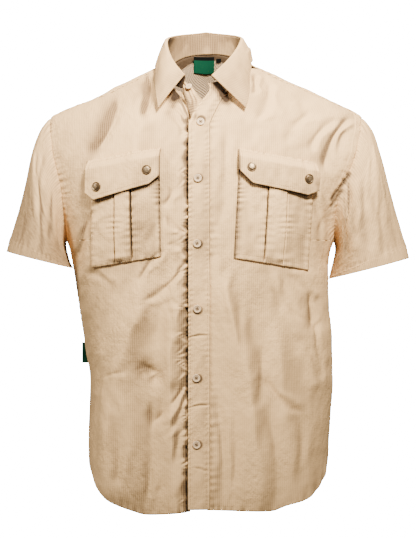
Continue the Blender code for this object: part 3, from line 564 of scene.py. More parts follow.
# %% [markdown]
# ## The two fronts
#
# Each front runs from under the placket round to the side seam, and up to the armhole and
# the yoke. The ridges that hang from the pockets and the placket down to the hem are the
# largest folds; the narrower creases fan out from the buttons, the pocket corners and the
# armholes.

# %% Folds of the front
# first x, first z, second x, second z, half width, depth (a ridge is negative), in millimetres
FRONT_FOLDS = metres((
    (-99.5, -511.7, -83, -523, 15, 5),
    (-52, -545, -78, -590, 13, 5),
    (-95, -35, -99.5, -90, 13, 6),
    (-149.4, -77.8, -177.8, -149.4, 16, 6),
    (225, -128.4, 200, -174.4, 13, 5),
    (176, -405.6, 179, -440, 11, 5),
    (144.8, -431.7, 180, -535, 15, -5),
))
# crest as (x, z) from the top down, reach to the left, reach to the right, height, in metres
FRONT_RIDGES = (
    (((-0.1052, -0.3746), (-0.146, -0.4888), (-0.156, -0.6112), (-0.16, -0.6928)),
     0.03, 0.046, 0.015),
    (((-0.0481, -0.3665), (-0.0603, -0.4888), (-0.0562, -0.6112), (-0.0522, -0.713)),
     0.019, 0.03, 0.014),
    (((0.0192, -0.3501), (0.0621, -0.5215), (0.0825, -0.6928)), 0.034, 0.021, 0.014),
    (((0.111, -0.44), (0.1274, -0.6112), (0.1396, -0.7128)), 0.03, 0.032, 0.009),
    (((-0.11, -0.06), (-0.118, -0.15)), 0.016, 0.024, 0.006),
)
# x1, z1, x2, z2, bow, half width, depth, in millimetres
FRONT_CREASES = metres((
    (-100, -20, -102, -90, 4, 4.5, 3),
    (-150, -64, -180, -145, 6, 6, 2.6),
    (-115, -56, -118, -120, -3, 7, 1.8),
    (-40, -347, -96, -398, 6, 5, 2.6),
    (-74, -320, -108, -366, -4, 4.5, 2.2),
    (-34, -290, -64, -264, 4, 4.5, 2),
    (-34, -320, -62, -308, -3, 4, 1.6),
    (-37, -410, -56, -396, 3, 4, 2.2),
    (-60, -400, -56, -456, 2, 6, 2.4),
    (-36, -535, -80, -595, 5, 5, 3),
    (-34, -550, -64, -620, 4, 4, 2.2),
    (-82, -515, -104, -506, 2, 4.5, 2),
    (-130, -518, -162, -526, -2, 3.5, 1),
    (-45, -590, -70, -710, 8, 8, 2.6),
    (-124, -396, -156, -500, 10, 8, 2.2),
    (-150, -560, -142, -700, 6, 9, 2.6),
    (-170, -520, -176, -660, -5, 7, 1.8),
    (-90, -570, -96, -720, 4, 8, 2),
    (-180, -250, -215, -350, -10, 8, 2.2),
    (-200, -260, -220, -330, 6, 6, 1.8),
    (-196, -350, -150, -390, 6, 6, 1.6),
    (-56, -218, -70, -245, 3, 5, 1.8),
    (94, -526, 146, -582, -6, 4.8, 3.2),
    (88, -480, 80, -570, 4, 6, 1.8),
    (170, -390, 176, -440, 2, 4.2, 3),
    (22, -350, 40, -460, -4, 7, 1.8),
    (50, -420, 42, -720, 6, 9, 2.6),
    (16, -560, 26, -720, 4, 7, 2),
    (100, -590, 110, -725, 6, 9, 2.4),
    (150, -580, 142, -700, 6, 9, 2.2),
    (124, -370, 150, -430, -5, 6, 1.8),
    (136, -360, 178, -400, 4, 5, 1.6),
    (90, -350, 120, -420, 8, 7, 1.6),
    (182, -440, 190, -530, -4, 5, 2),
    (150, -460, 188, -550, 6, 6, 2),
    (235, -98, 196, -176, -8, 5, 3.6),
    (214, -100, 170, -150, -6, 6, 2),
    (80, -24, 80, -56, 1, 4, 2.2),
    (105, -40, 86, -100, 5, 7, 1.6),
    (190, -270, 198, -340, -4, 6, 2.2),
    (194, -230, 200, -310, 5, 7, 1.8),
    (180, -204, 187, -270, -3, 6, 1.8),
    (30, -130, 24, -260, 3, 8, 1.4),
    (170, -90, 130, -138, -5, 8, 1.4),
    (-48, -62, -32, -82.5, 2, 3, 3.4),
    (-44, -70, -26.6, -104.8, 2, 3, 3.6),
    (-56, -79, -32.6, -111.9, 3, 4, 2.6),
    (-64, -90, -38, -128, 4, 5, 1.8),
))
# hollows under the collar points and beside the left armhole, shallow dips dark with painted shadow,
# in the same columns
COLLAR_HOLLOWS = metres((
    (-42, -42, -53.5, -65, 8.5, 10),
    (13, -37, 32.5, -68, 8, 10),
    (236.7, -190.2, 207.3, -232.6, 3, 7.2),
    (223, -219, 207, -243, 2.6, 6),
))
FOLD_FADE, NECK_FADE = 0.035, 0.02

# %% Relief of the fronts
FINE_ANGLES = np.linspace(0.0, 360.0, 481)
ARMHOLE_CURVES = {RIGHT: armhole(RIGHT, FINE_ANGLES), LEFT: armhole(LEFT, FINE_ANGLES)}
FELL_WIDTH = 0.011
FELL_RISE = 0.0006
EDGE_FADE = 0.012
# pitch, height and reach of the puckers beside each kind of seam
BODY_ARMHOLE_PUCKERS = (0.0085, 0.001, 0.014)
YOKE_ARMHOLE_PUCKERS = (0.0085, 0.0009, 0.013)
SIDE_SEAM_PUCKERS = (0.011, 0.0007, 0.012)
HEM_PUCKERS = (0.012, 0.0006, 0.014)
GAP_PUCKERS = (0.0085, 0.0023, 0.013)
PLACKET_PUCKERS = (0.013, 0.0005, 0.012)


def placket_edge(z):
    return curve(FRONT_EDGES, 1, z)


def felled(distance):
    """A seam folded flat and sewn down is a slightly raised band beside the seam."""
    return FELL_RISE * (1 - ease((distance - FELL_WIDTH + 0.001) / 0.002))


def hem_height(side, angle):
    return np.where(np.asarray(side) > 0, curve(HEM, 2, angle), curve(HEM, 1, angle))


def front_relief(side, points):
    """How far the cloth of a front lies below the plain form."""
    x, z = points[..., 0], points[..., 2]
    edge = form(side, outer_angle(side, z, False), z)
    gap = np.linalg.norm(edge - points, axis=-1)
    fade = ease(gap / FOLD_FADE)
    neck = np.where(np.abs(x) < NECK_HALF_WIDTH, neck_height_at_x(x), 0.0)
    fade *= np.where(z > ARMHOLE_BOTTOM, ease((neck - z) / NECK_FADE), 1.0)
    depth = fade * (folds(FRONT_FOLDS, x, z) - ridges(FRONT_RIDGES, x, z))
    edge_fade = ease(gap / EDGE_FADE) * ease((neck - z) / EDGE_FADE)
    depth += edge_fade * creases(FRONT_CREASES, x, z)
    depth += edge_fade * crumple(x, z, 11, 0.0007)
    return depth + 0.2 * folds(COLLAR_HOLLOWS, x, z)


# painted shadow in the hollows under the collar points and beside the left armhole
def collar_shade(points):
    return 1.5 * folds(COLLAR_HOLLOWS, points[..., 0], points[..., 2])


def front_seams(side, points, angle):
    """Puckers beside the armhole, side seam, hem, yoke seam and placket."""
    x, z = points[..., 0], points[..., 2]
    near, along = seam_reach(points, ARMHOLE_CURVES[side])
    depth = -felled(near) + puckers(near, along, *BODY_ARMHOLE_PUCKERS, 31)
    side_gap = np.abs(points[..., 1])
    depth += np.where(z < ARMHOLE_BOTTOM, puckers(side_gap, z, *SIDE_SEAM_PUCKERS, 37), 0.0)
    depth += puckers(np.abs(z - hem_height(side, angle)), x, *HEM_PUCKERS, 41)
    if side < 0:
        gap = np.abs(x - placket_edge(z))
        ragged = 0.0036 + 0.0038 * soft_noise(z, z * 0.0, 0.008, 45)
        slant = z + 0.7 * gap * np.sin(z * 140.0)
        depth += puckers(gap, slant, *GAP_PUCKERS, 43) * ease((STRAIGHT_TOP - z) / 0.02)
        # a narrow ragged dip beside the placket's edge, which the relief paints as a dark shadow line
        depth += 0.006 * bell(gap, ragged) * ease((-0.06 - z) / 0.02)
    else:
        gap = np.abs(x - placket_edge(z) - PLACKET_WIDTH)
        depth += puckers(gap, z, *PLACKET_PUCKERS, 47)
    return depth


def front_surface(side, angle, z):
    points = form(side, angle, z)
    depth = front_relief(side, points)
    seams = front_seams(side, points, angle)
    # painted shade: part of the fold depth, the seam gaps and puckers, the hollows by the collar, and
    # more towards the hem
    lower_shade = (0.002 if side < 0 else 0.0011) * ease((-0.3 - z) / 0.3)
    return lifted(points, -depth - seams), (
        0.28 * depth + 1.3 * seams + collar_shade(points) + lower_shade)


# %% Shape the fronts
FRONT_COLUMNS, HEM_ROWS = 100, 41


def crowded(count, lean=0.45):
    """Shares from 0 to 1, closer together near both ends."""
    t = np.linspace(0.0, 1.0, count)
    return t - lean * np.sin(2 * np.pi * t) / (2 * np.pi)


def front_inner_angle(side, z):
    if side > 0:
        x = placket_edge(z) + PLACKET_WIDTH - PLACKET_TUCK
    else:
        x = np.where(z < STRAIGHT_TOP, FRONT_EDGES[1][1] + BAND_TUCK,
                     curve(FRONT_EDGES, 2, z) - BAND_WIDTH + BAND_TUCK)
    x = np.where(z > neck_height_at_x(x), neck_x_at_height(side, z) + side * SEAM_GAP, x)
    return angle_at_x(side, x, z)


def armhole_heights(first, last, step):
    turn = np.radians(np.arange(first, last - 1e-6, -step))
    return ARMHOLE_MIDDLE + ARMHOLE_HALF * np.cos(turn)


def panel_grid(places, levels):
    """Sides, angles and heights of a panel, whose lowest rows spread out to the hem."""
    levels = np.concatenate(levels)[:, None]
    side, angle = places(levels)
    base_side, base_angle = places(np.full((1, 1), HEM_ZONE_TOP))
    rise = np.linspace(0.0, 1.0, HEM_ROWS + 1)[:-1][:, None]
    hem = mix(hem_height(base_side, base_angle), HEM_ZONE_TOP, rise)
    return (np.concatenate([np.broadcast_to(base_side, hem.shape), side]),
            np.concatenate([np.broadcast_to(base_angle, hem.shape), angle]),
            np.concatenate([hem, np.broadcast_to(levels, angle.shape)]))


def front_places(side, z):
    angle = mix(front_inner_angle(side, z), outer_angle(side, z, False), crowded(FRONT_COLUMNS))
    return np.full(angle.shape, side), angle


fronts = {}
for side, word in SIDES:
    _, angles, heights = panel_grid(lambda z: front_places(side, z), [
        np.linspace(HEM_ZONE_TOP, ARMHOLE_BOTTOM, 142),
        armhole_heights(178.5, YOKE_FRONT_ANGLE, 1.5), np.linspace(-0.0945, -0.011, 38)])
    points, relief_shade = front_surface(side, angles, heights)
    uv = measured_uv(form(side, angles, heights))
    uv[..., 0] -= uv[:, :1, 0].copy()
    uv[..., 1] = heights
    fronts[side] = shell("front_" + word + "_cloth", points, uv, relief_shade, flip=side < 0, lean=LEAN_SHADE)
    print(fronts[side].name, len(fronts[side].data.polygons), "faces")

# %% [markdown]
# ## The back and the yoke
#
# The back is one wide panel under a straight seam, and the yoke is the double piece over
# the shoulders. The photograph doesn't show the back, so its folds are plain ones of the
# same size and spacing as those in front.

# %% Folds of the back
# the same columns as in front, in millimetres
BACK_FOLDS = metres((
    (-100, -170, -112, -430, 20, 8),
    (85, -160, 102, -490, 20, 7.5),
    (155, -450, 60, -590, 17, 6.5),
    (-150, -500, -50, -650, 17, 7),
    (10, -300, 5, -470, 18, -4),
    (-10, -560, -20, -710, 19, 6),
))
BACK_CREASES = metres((
    (-175, -170, -130, -230, 6, 6, 2.6),
    (-190, -210, -145, -290, 8, 7, 2.4),
    (180, -165, 130, -240, -6, 6, 2.8),
    (195, -220, 150, -300, -8, 7, 2.2),
    (-50, -170, -40, -260, 3, 6, 1.8),
    (35, -160, 50, -270, 3, 7, 1.8),
    (-180, -340, -100, -390, 6, 6, 2.6),
    (185, -330, 90, -405, -6, 6, 2.8),
    (-150, -430, -70, -465, 7, 5.5, 2.2),
    (140, -425, 30, -470, -8, 6, 2.4),
    (20, -490, -50, -540, 6, 6, 2),
    (-100, -560, -125, -700, 6, 9, 2.6),
    (70, -600, 85, -730, -6, 9, 2.6),
    (140, -560, 125, -700, 6, 8, 2.2),
    (-150, -600, -160, -690, 3, 7, 2),
    (30, -630, 25, -750, 3, 8, 2),
))
YOKE_CREASES = metres((
    (-120, 25, -170, 70, 4, 6, 2),
    (115, 25, 175, 65, -4, 6, 2),
    (-50, 80, -70, 110, 2, 6, 1.2),
    (45, 82, 60, 112, 2, 6, 1.2),
))


# %% Shape the back
def around(share, edge_right, edge_left):
    """Side and angle at a share of the way round the back, from right to left."""
    turn = mix(edge_right - 180.0, 180.0 - edge_left, share)
    return np.where(turn > 0, LEFT, RIGHT), np.where(turn > 0, 180.0 - turn, 180.0 + turn)


def back_surface(side, angle, z):
    points = form(side, angle, z)
    x = points[..., 0]
    edge = form(side, outer_angle(side, z, True), z)
    gap = np.linalg.norm(edge - points, axis=-1)
    fade = ease(gap / FOLD_FADE) * ease((YOKE_BACK_Z - z) / NECK_FADE)
    depth = fade * folds(BACK_FOLDS, x, z)
    edge_fade = ease(gap / EDGE_FADE) * ease((YOKE_BACK_Z - z) / EDGE_FADE)
    depth += edge_fade * (creases(BACK_CREASES, x, z) + crumple(x, z, 57, 0.0007))
    seams = np.zeros(depth.shape)
    for each in (RIGHT, LEFT):
        near, along = seam_reach(points, ARMHOLE_CURVES[each])
        seams += -felled(near) + puckers(near, along, *BODY_ARMHOLE_PUCKERS, 61)
    side_gap = np.abs(points[..., 1])
    seams += np.where(z < ARMHOLE_BOTTOM, puckers(side_gap, z, *SIDE_SEAM_PUCKERS, 63), 0.0)
    seams += puckers(YOKE_BACK_Z - z, x, 0.01, 0.0008, 0.014, 65)
    seams += puckers(np.abs(z - hem_height(side, angle)), x, *HEM_PUCKERS, 67)
    # the relief is painted shade: a little of the fold depth and most of the puckers
    return lifted(points, -depth - seams), 0.2 * depth + 0.8 * seams


BACK_COLUMNS = 132


def back_places(z):
    right, left = outer_angle(RIGHT, z, True), outer_angle(LEFT, z, True)
    return around(crowded(BACK_COLUMNS, 0.35), right, left)


grid = panel_grid(back_places, [
    np.linspace(HEM_ZONE_TOP, ARMHOLE_BOTTOM, 120),
    armhole_heights(178.0, YOKE_BACK_ANGLE + 1.0, 2.0), [YOKE_BACK_Z - 2 * SEAM_GAP]])
points, relief_shade = back_surface(*grid)
uv = measured_uv(form(*grid))
uv[..., 1] = grid[2]
back = shell("back_cloth", points, uv, relief_shade, flip=True, lean=0.7 * LEAN_SHADE)
print(back.name, len(back.data.polygons), "faces")

# %% Shape the yoke
YOKE_COLUMNS, YOKE_ROWS = 190, 60


def yoke_edge(count):
    """Outer edge of the yoke: right armhole, back seam, left armhole."""
    turn = np.linspace(YOKE_FRONT_ANGLE, -YOKE_BACK_ANGLE, 40) % 360.0
    right, left = armhole(RIGHT, turn), armhole(LEFT, turn[::-1])
    first = angle_at_y(RIGHT, right[-1, 1], YOKE_BACK_Z)
    last = angle_at_y(LEFT, left[0, 1], YOKE_BACK_Z)
    side, angle = around(np.linspace(0.0, 1.0, 90)[1:-1], first, last)
    seam = form(side, angle, np.full(side.shape, YOKE_BACK_Z))
    line = np.concatenate([right, seam, left])
    return places_on(line, np.linspace(0.0, run_along(line)[-1], count))


def neck_angle_at_y(side, y):
    return bisect(lambda a: y - neck_plan(side, a)[1], np.array(0.0), np.array(180.0))


def yoke_base(count, rows, from_share, to_share, inset=0):
    edge = yoke_edge(count)
    right, left = neck_angle_at_y(RIGHT, YOKE_FRONT_Y), neck_angle_at_y(LEFT, YOKE_FRONT_Y)
    side, angle = around(np.linspace(0.0, 1.0, count), right, left)
    x, y = neck_plan(side, angle)
    keep = slice(inset, count - inset)
    share = np.linspace(from_share, to_share, rows)[:, None]
    px, py = mix(x[keep], edge[keep, 0], share), mix(y[keep], edge[keep, 1], share)
    points = np.stack([px, py, height_at(px, py)], -1)
    if to_share >= 1.0:
        points[-1] = edge[keep]
    return points


def yoke_relief(points):
    x, y, z = points[..., 0], points[..., 1], points[..., 2]
    seam = np.abs(y - YOKE_FRONT_Y)
    calm = ease(seam / EDGE_FADE) * ease((z - YOKE_BACK_Z) / EDGE_FADE)
    depth = calm * (creases(YOKE_CREASES, x, y) + crumple(x, y, 71, 0.0006))
    seams = puckers(seam, x, 0.01, 0.0008, 0.013, 73)
    seams += puckers(np.abs(z - YOKE_BACK_Z), x, 0.01, 0.0007, 0.012, 75) - 0.0004
    for each in (RIGHT, LEFT):
        near, along = seam_reach(points, ARMHOLE_CURVES[each])
        seams += -felled(near) + puckers(near, along, *YOKE_ARMHOLE_PUCKERS, 77)
    return depth, seams


plain = yoke_base(YOKE_COLUMNS, YOKE_ROWS, 0.0, 1.0)
depth, seams = yoke_relief(plain)
# the relief is painted shade: a little of the fold depth and most of the puckers
yoke = shell("yoke_cloth", lifted(plain, -depth - seams), measured_uv(plain),
             0.3 * depth + 0.8 * seams, lean=0.7 * LEAN_SHADE)
print(yoke.name, len(yoke.data.polygons), "faces")

# %% [markdown]
# ## The sleeves
#
# A short sleeve is a tube that hangs from the armhole. Its first few millimetres go under
# the felled edge of the body, and its cuff is turned up twice and sewn, so the last two
# centimetres are a slightly stiffer band.

# %% Sleeve tables
# share of the length, outer x, outer z, inner x, inner z, half depth
SLEEVES = {
    RIGHT: (
        (0.0, 0.264, -0.092, 0.236, -0.3, 0.07),
        (0.12, 0.282, -0.115, 0.2395, -0.306, 0.074),
        (0.28, 0.2955, -0.148, 0.2395, -0.315, 0.078),
        (0.48, 0.305, -0.191, 0.237, -0.325, 0.079),
        (0.72, 0.318, -0.245, 0.2335, -0.336, 0.078),
        (1.0, 0.34, -0.319, 0.229, -0.347, 0.077),
    ),
    LEFT: (
        (0.0, 0.262, -0.092, 0.213, -0.3, 0.07),
        (0.12, 0.281, -0.118, 0.217, -0.309, 0.074),
        (0.28, 0.2925, -0.149, 0.2175, -0.32, 0.076),
        (0.48, 0.305, -0.194, 0.215, -0.333, 0.075),
        (0.72, 0.32, -0.25, 0.2115, -0.348, 0.073),
        (1.0, 0.343, -0.33, 0.208, -0.365, 0.069),
    ),
}
SLEEVE_LAP, SLEEVE_RADIUS, SLEEVE_LENGTH = 0.0024, 0.072, 0.24
CUFF_BAND = 0.019
# angle, share, angle, share, bow, half width, depth; 0 is on top, 90 in front, 180 under
SLEEVE_CREASES = {
    RIGHT: (
        (35.0, 0.22, 72.0, 0.62, 0.004, 0.01, -0.004),
        (95.0, 0.16, 102.0, 0.66, 0.006, 0.009, 0.0042),
        (290.0, 0.2, 280.0, 0.65, 0.004, 0.01, 0.0044),
        (60.0, 0.1, 84.0, 0.5, -0.005, 0.006, 0.0026),
        (120.0, 0.1, 128.0, 0.7, 0.005, 0.007, 0.003),
        (76.0, 0.45, 92.0, 0.92, 0.004, 0.006, 0.002),
        (40.0, 0.5, 52.0, 0.92, 0.003, 0.007, 0.0018),
        (250.0, 0.15, 240.0, 0.7, 0.005, 0.007, 0.0026),
        (320.0, 0.3, 312.0, 0.85, 0.005, 0.008, 0.0022),
    ),
    LEFT: (
        (40.0, 0.18, 62.0, 0.58, 0.004, 0.009, -0.0042),
        (78.0, 0.2, 88.0, 0.78, 0.005, 0.009, 0.0046),
        (300.0, 0.15, 285.0, 0.6, 0.004, 0.01, 0.0044),
        (98.0, 0.08, 104.0, 0.6, 0.004, 0.006, 0.0034),
        (90.0, 0.03, 112.0, 0.24, 0.002, 0.0042, 0.0075),
        (104.0, 0.05, 118.0, 0.26, 0.002, 0.0036, 0.006),
        (62.0, 0.45, 70.0, 0.92, -0.004, 0.007, 0.0026),
        (118.0, 0.12, 124.0, 0.75, 0.005, 0.006, 0.0028),
        (28.0, 0.4, 40.0, 0.9, 0.003, 0.008, 0.002),
        (250.0, 0.15, 242.0, 0.7, 0.005, 0.007, 0.0026),
        (325.0, 0.3, 318.0, 0.85, 0.005, 0.008, 0.0022),
    ),
}


# %% Shape the sleeves
def sleeve_plain(side, angle, share):
    outer_x, outer_z, inner_x, inner_z, depth = (
        curve(SLEEVES[side], column, share) for column in range(1, 6))
    zero = np.zeros(np.shape(share))
    outer = np.stack([side * outer_x, zero, outer_z], -1)
    inner = np.stack([side * inner_x, zero, inner_z], -1)
    middle = (outer + inner) / 2
    turn = np.radians(angle)
    point = middle + (outer - middle) * np.cos(turn)[..., None]
    point[..., 1] -= depth * np.sin(turn)
    return point, middle


def sleeve_surface(side, angle, share, folded=1.0):
    """Points and relief of a sleeve; `folded` of 0 leaves out its creases."""
    plain, middle = sleeve_plain(side, angle, share)
    start, _ = sleeve_plain(side, angle, 0.0 * share)
    seam = armhole(side, angle)
    normal = outward(seam)
    fitted = plain + (seam + normal * SLEEVE_LAP - start) * ((1 - share) ** 2)[..., None]
    across = np.radians(angle % 360.0) * SLEEVE_RADIUS
    down = -share * SLEEVE_LENGTH
    rows = [(math.radians(a1) * SLEEVE_RADIUS, -s1 * SLEEVE_LENGTH, math.radians(a2) * SLEEVE_RADIUS,
             -s2 * SLEEVE_LENGTH, bow, width, low)
            for a1, s1, a2, s2, bow, width, low in SLEEVE_CREASES[side]]
    seam_gap = np.radians(np.abs(angle % 360.0 - 180.0)) * SLEEVE_RADIUS
    calm = ease(share / 0.1) * ease((1 - share) / 0.1) * ease(seam_gap / 0.015)
    depth = calm * (0.45 * creases(rows, across, down) + crumple(across, down, 83, 0.0006))
    cuff_gap = (1 - share) * SLEEVE_LENGTH
    seams = puckers(share * SLEEVE_LENGTH, across, 0.009, 0.0011, 0.016, 85)
    seams += puckers(cuff_gap - CUFF_BAND, across, 0.011, 0.0006, 0.01, 87)
    seams += puckers(seam_gap, down, 0.011, 0.0007, 0.012, 89)
    seams -= 0.0005 * (1 - ease((cuff_gap - CUFF_BAND + 0.001) / 0.002))
    seams *= ease(seam_gap / 0.003) * ease(share / 0.02)
    fitted -= unit(fitted - middle) * (folded * (depth + seams))[..., None]
    fitted = clear_of_form(fitted, SLEEVE_LAP * 0.6)
    inside = seam - normal * 0.001
    return mix(inside, fitted, ease(share / 0.03)[..., None]), 0.5 * depth + 1.2 * seams


sleeves = {}
for side, word in SIDES:
    angle, share = np.meshgrid(180.0 + np.arange(0.0, 360.0, 2.25), crowded(92, 0.3))
    points, relief_shade = sleeve_surface(side, angle, share)
    smooth = sleeve_surface(side, angle, share, folded=0.0)[0]
    # painted shade and highlight by each fold's lean, more painted shade towards the cuff, most on
    # the right sleeve, and painted shadow in the gaps by the left armhole
    relief_shade += 0.6 * LEAN_SHADE * turned_away(points, smooth)
    relief_shade += 0.003 * ease(share / 0.8) * (1.0 if side < 0 else 0.3)
    relief_shade += np.where(points[..., 1] < 0, collar_shade(points), 0.0)
    uv = np.stack([np.radians(angle) * SLEEVE_RADIUS, -share * SLEEVE_LENGTH], -1)
    sleeves[side] = shell("sleeve_" + word + "_cloth", points, uv, relief_shade, closed=True,
                          flip=side > 0)
    print(sleeves[side].name, len(sleeves[side].data.polygons), "faces")

# %% [markdown]
# ## The collar
#
# The stand is the upright band that goes round the neck, and the leaf folds over it. Both
# are two layers of cloth with a stiffener, so they hold a smooth shape.

# %% Collar tables
# angle from the front, height of the fold
COLLAR_FOLD = (
    (NECK_END_ANGLE, -0.031),
    (45.0, -0.006),
    (70.0, 0.021),
    (90.0, 0.0385),
    (115.0, 0.0475),
    (140.0, 0.0535),
    (180.0, 0.06),
)
FOLD_HALF_WIDTH, FOLD_FRONT, FOLD_BACK = 0.0625, 0.089, 0.068
# angle from the front, right x, left x, y, z of the leaf's free edge
LEAF_EDGE = (
    (NECK_END_ANGLE, -0.08, 0.064, -0.105, -0.084),
    (45.0, -0.0845, 0.07, -0.09, -0.055),
    (65.0, -0.087, 0.0705, -0.052, -0.025),
    (90.0, -0.0865, 0.07, -0.008, 0.0),
    (115.0, -0.081, 0.07, 0.037, 0.003),
    (140.0, -0.063, 0.062, 0.067, 0.008),
    (180.0, -0.0015, -0.0015, 0.083, 0.012),
)
LEAF_CLEARANCE, LEAF_ROLL_OUT, LEAF_ROLL_UP, LEAF_CROWN = 0.0058, 0.005, 0.0024, 0.0016
COLLAR_CLOTH = 0.0018


# %% Shape the collar
def collar_lines(count):
    side, angle = around(np.linspace(0.0, 1.0, count), NECK_END_ANGLE, NECK_END_ANGLE)
    top = np.stack([*neck_oval(side, angle, FOLD_HALF_WIDTH, FOLD_FRONT, FOLD_BACK),
                    curve(COLLAR_FOLD, 1, angle)], -1)
    x = np.where(side > 0, curve(LEAF_EDGE, 2, angle), curve(LEAF_EDGE, 1, angle))
    edge = np.stack([x, curve(LEAF_EDGE, 3, angle), curve(LEAF_EDGE, 4, angle)], -1)
    return neck_point(side, angle), top, clear_of_form(edge, LEAF_CLEARANCE)


COLLAR_COLUMNS = 190
seam, top, edge = collar_lines(COLLAR_COLUMNS)
rise = unit(top - seam)
start = seam + rise * 0.0014
up = np.linspace(0.0, 1.0, 18)[:, None, None]
stand_points = mix(start[None], (top + rise * 0.0012)[None], up)
wave = crumple(np.arange(COLLAR_COLUMNS)[None, :] * 0.0022, up[..., 0] * 0.03, 91, 0.0012)
flat_out = unit(top * np.array([1.0, 1.0, 0.0]))
stand_points += flat_out[None] * wave[..., None] * np.sin(np.pi * up)
along = np.linspace(0.0, 1.0, COLLAR_COLUMNS)[None, :]
to_end = np.minimum(along, 1 - along)
# painted shade on the stand: a little all over, on its crumples, towards the top, at both ends and in
# two soft bands
inside_shade = 0.0042 + 1.6 * wave + 0.003 * up[..., 0] ** 2 + 0.013 * (1 - ease(to_end / 0.1))
inside_shade += 0.0028 * bell(to_end - 0.26, 0.05)
collar_stand = shell("collar_stand_cloth", stand_points, measured_uv(stand_points), inside_shade,
                     thickness=0.0015)

ROLL_ROWS, LEAF_ROWS = 7, 40
inner = top + rise * (COLLAR_CLOTH + SEAM_GAP)
outer = top + flat_out * LEAF_ROLL_OUT + rise * (COLLAR_CLOTH + LEAF_ROLL_UP * 0.2)
crest = (inner + outer) / 2 + rise * LEAF_ROLL_UP * 1.1
turn = np.linspace(0.0, 1.0, ROLL_ROWS)[:-1, None, None]
roll = (1 - turn) ** 2 * inner + 2 * turn * (1 - turn) * crest + turn ** 2 * outer
down = np.linspace(0.0, 1.0, LEAF_ROWS)[:, None, None]
leaf = mix(outer[None], edge[None], down) + flat_out[None] * LEAF_CROWN * np.sin(np.pi * down)
ripple = crumple(np.arange(COLLAR_COLUMNS)[None, :] * 0.0026, down[..., 0] * 0.08, 93, 0.0005)
leaf = leaf + flat_out[None] * (ripple * np.sin(np.pi * down[..., 0]))[..., None]
held_off = clear_of_form(leaf, LEAF_CLEARANCE)
leaf = mix(leaf, held_off, ease((down - 0.35) / 0.1))
leaf_points = np.concatenate([roll, leaf])
# painted shade on the leaf: a little all over and on its ripples
leaf_shade = np.concatenate([np.zeros((ROLL_ROWS - 1, COLLAR_COLUMNS)), 0.002 - 2.0 * ripple])
collar_leaf = shell("collar_leaf_cloth", leaf_points, measured_uv(leaf_points), leaf_shade,
                    thickness=0.0016)
print("collar leaf at its point:", [round(float(v), 3) for v in edge[0]])

# %% [markdown]
# ## The placket and the button band
#
# The placket is a folded strip on the wearer's left front with the buttonholes, and the
# band lies under it on the other front. Both follow the fronts, one layer above them and
# one below.

# %% Shape the two strips
STRIP_TOP, STRIP_STEP, STRIP_NECK_GAP, STRIP_HEM_RISE = -0.048, 0.028, 0.0025, 0.001
STRIP_COLUMNS, STRIP_LOWER_ROWS, STRIP_UPPER_ROWS = 29, 330, 60


def front_at(x, z, lift):
    """Points over the fronts at places seen from the front, and the depth of the folds there."""
    side = np.where(x > 0, LEFT, RIGHT)
    points = form(side, angle_at_x(side, x, z), z)
    depth = np.where(side > 0, front_relief(LEFT, points), front_relief(RIGHT, points))
    return lifted(points, lift - depth), depth


def strip_places(column, offset, width):
    """Places of a strip that is straight below and turns away with the open neck above."""
    t = np.linspace(0.0, 1.0, STRIP_COLUMNS)[None, :]
    lower = np.linspace(HEM[0][1] + STRIP_HEM_RISE, STRAIGHT_TOP - STRIP_STEP, STRIP_LOWER_ROWS)
    x_low = curve(FRONT_EDGES, column, lower)[:, None] + offset + width * t
    z_low = np.broadcast_to(lower[:, None], x_low.shape)
    upper = np.linspace(STRAIGHT_TOP, STRIP_TOP, STRIP_UPPER_ROWS)
    share = (upper - STRAIGHT_TOP) / (STRIP_TOP - STRAIGHT_TOP)
    x_up = curve(FRONT_EDGES, column, upper)[:, None] + offset + width * t
    top = neck_height_at_x(x_up) - STRIP_NECK_GAP
    z_up = mix(upper[:, None], mix(STRAIGHT_TOP, top, share[:, None]), ease(share[:, None]))
    step = np.linspace(0.0, 1.0, 12)[1:-1, None]
    x_mid = mix(x_low[-1], x_up[0], step)
    z_mid = mix(z_low[-1], z_up[0], step)
    return np.concatenate([x_low, x_mid, x_up]), np.concatenate([z_low, z_mid, z_up]), t


x, z, across = strip_places(1, 0.0, PLACKET_WIDTH)
inset = np.minimum(across, 1 - across) * PLACKET_WIDTH
lift = mix(STRIP_LAYER, 0.0019, ease((across - 0.55) / 0.45)) + 0.0 * x
small = puckers(np.abs(inset - 0.0045) + 0.0 * x, z, 0.0095, 0.00035, 0.006, 101)
small += puckers(across * PLACKET_WIDTH + 0.0 * x, z, 0.0075, 0.0007, 0.004, 103)
small += creases(((-0.028, -0.459, 0.002, -0.456, 0.001, 0.0016, 0.0016),
                  (-0.029, -0.574, 0.002, -0.57, 0.0015, 0.0016, 0.0016),
                  (-0.027, -0.302, -0.018, -0.306, 0.001, 0.0014, 0.001),
                  (-0.024, -0.67, 0.003, -0.678, 0.0015, 0.0016, 0.0011)), x, z)
points, relief_shade = front_at(x, z, lift - small)
# painted shadow along the placket's edge on the left front, in the hollow under the collar point, and
# beside each button
edge_shade = 0.0075 * bell((1 - across) * PLACKET_WIDTH, 0.0009) + collar_shade(points)
for number in range(1, 7):
    centre = sum(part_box(f"button_{number}"), Vector()) / 2
    away = np.hypot(x - centre.x - 0.0014, z - centre.z + 0.0012)
    edge_shade += 0.01 * bell(np.maximum(away - 0.006, 0.0), 0.0013)
placket = shell("placket_cloth", points, np.stack([x, z], -1),
                0.6 * relief_shade + 1.4 * small + edge_shade, thickness=0.0012, lean=LEAN_SHADE)
x, z, across = strip_places(2, -BAND_WIDTH, BAND_WIDTH)
points, relief_shade = front_at(x, z, -STRIP_LAYER)
band = shell("button_band_cloth", points, np.stack([x, z], -1), relief_shade, thickness=0.001)
print(placket.name, len(placket.data.polygons), "faces")

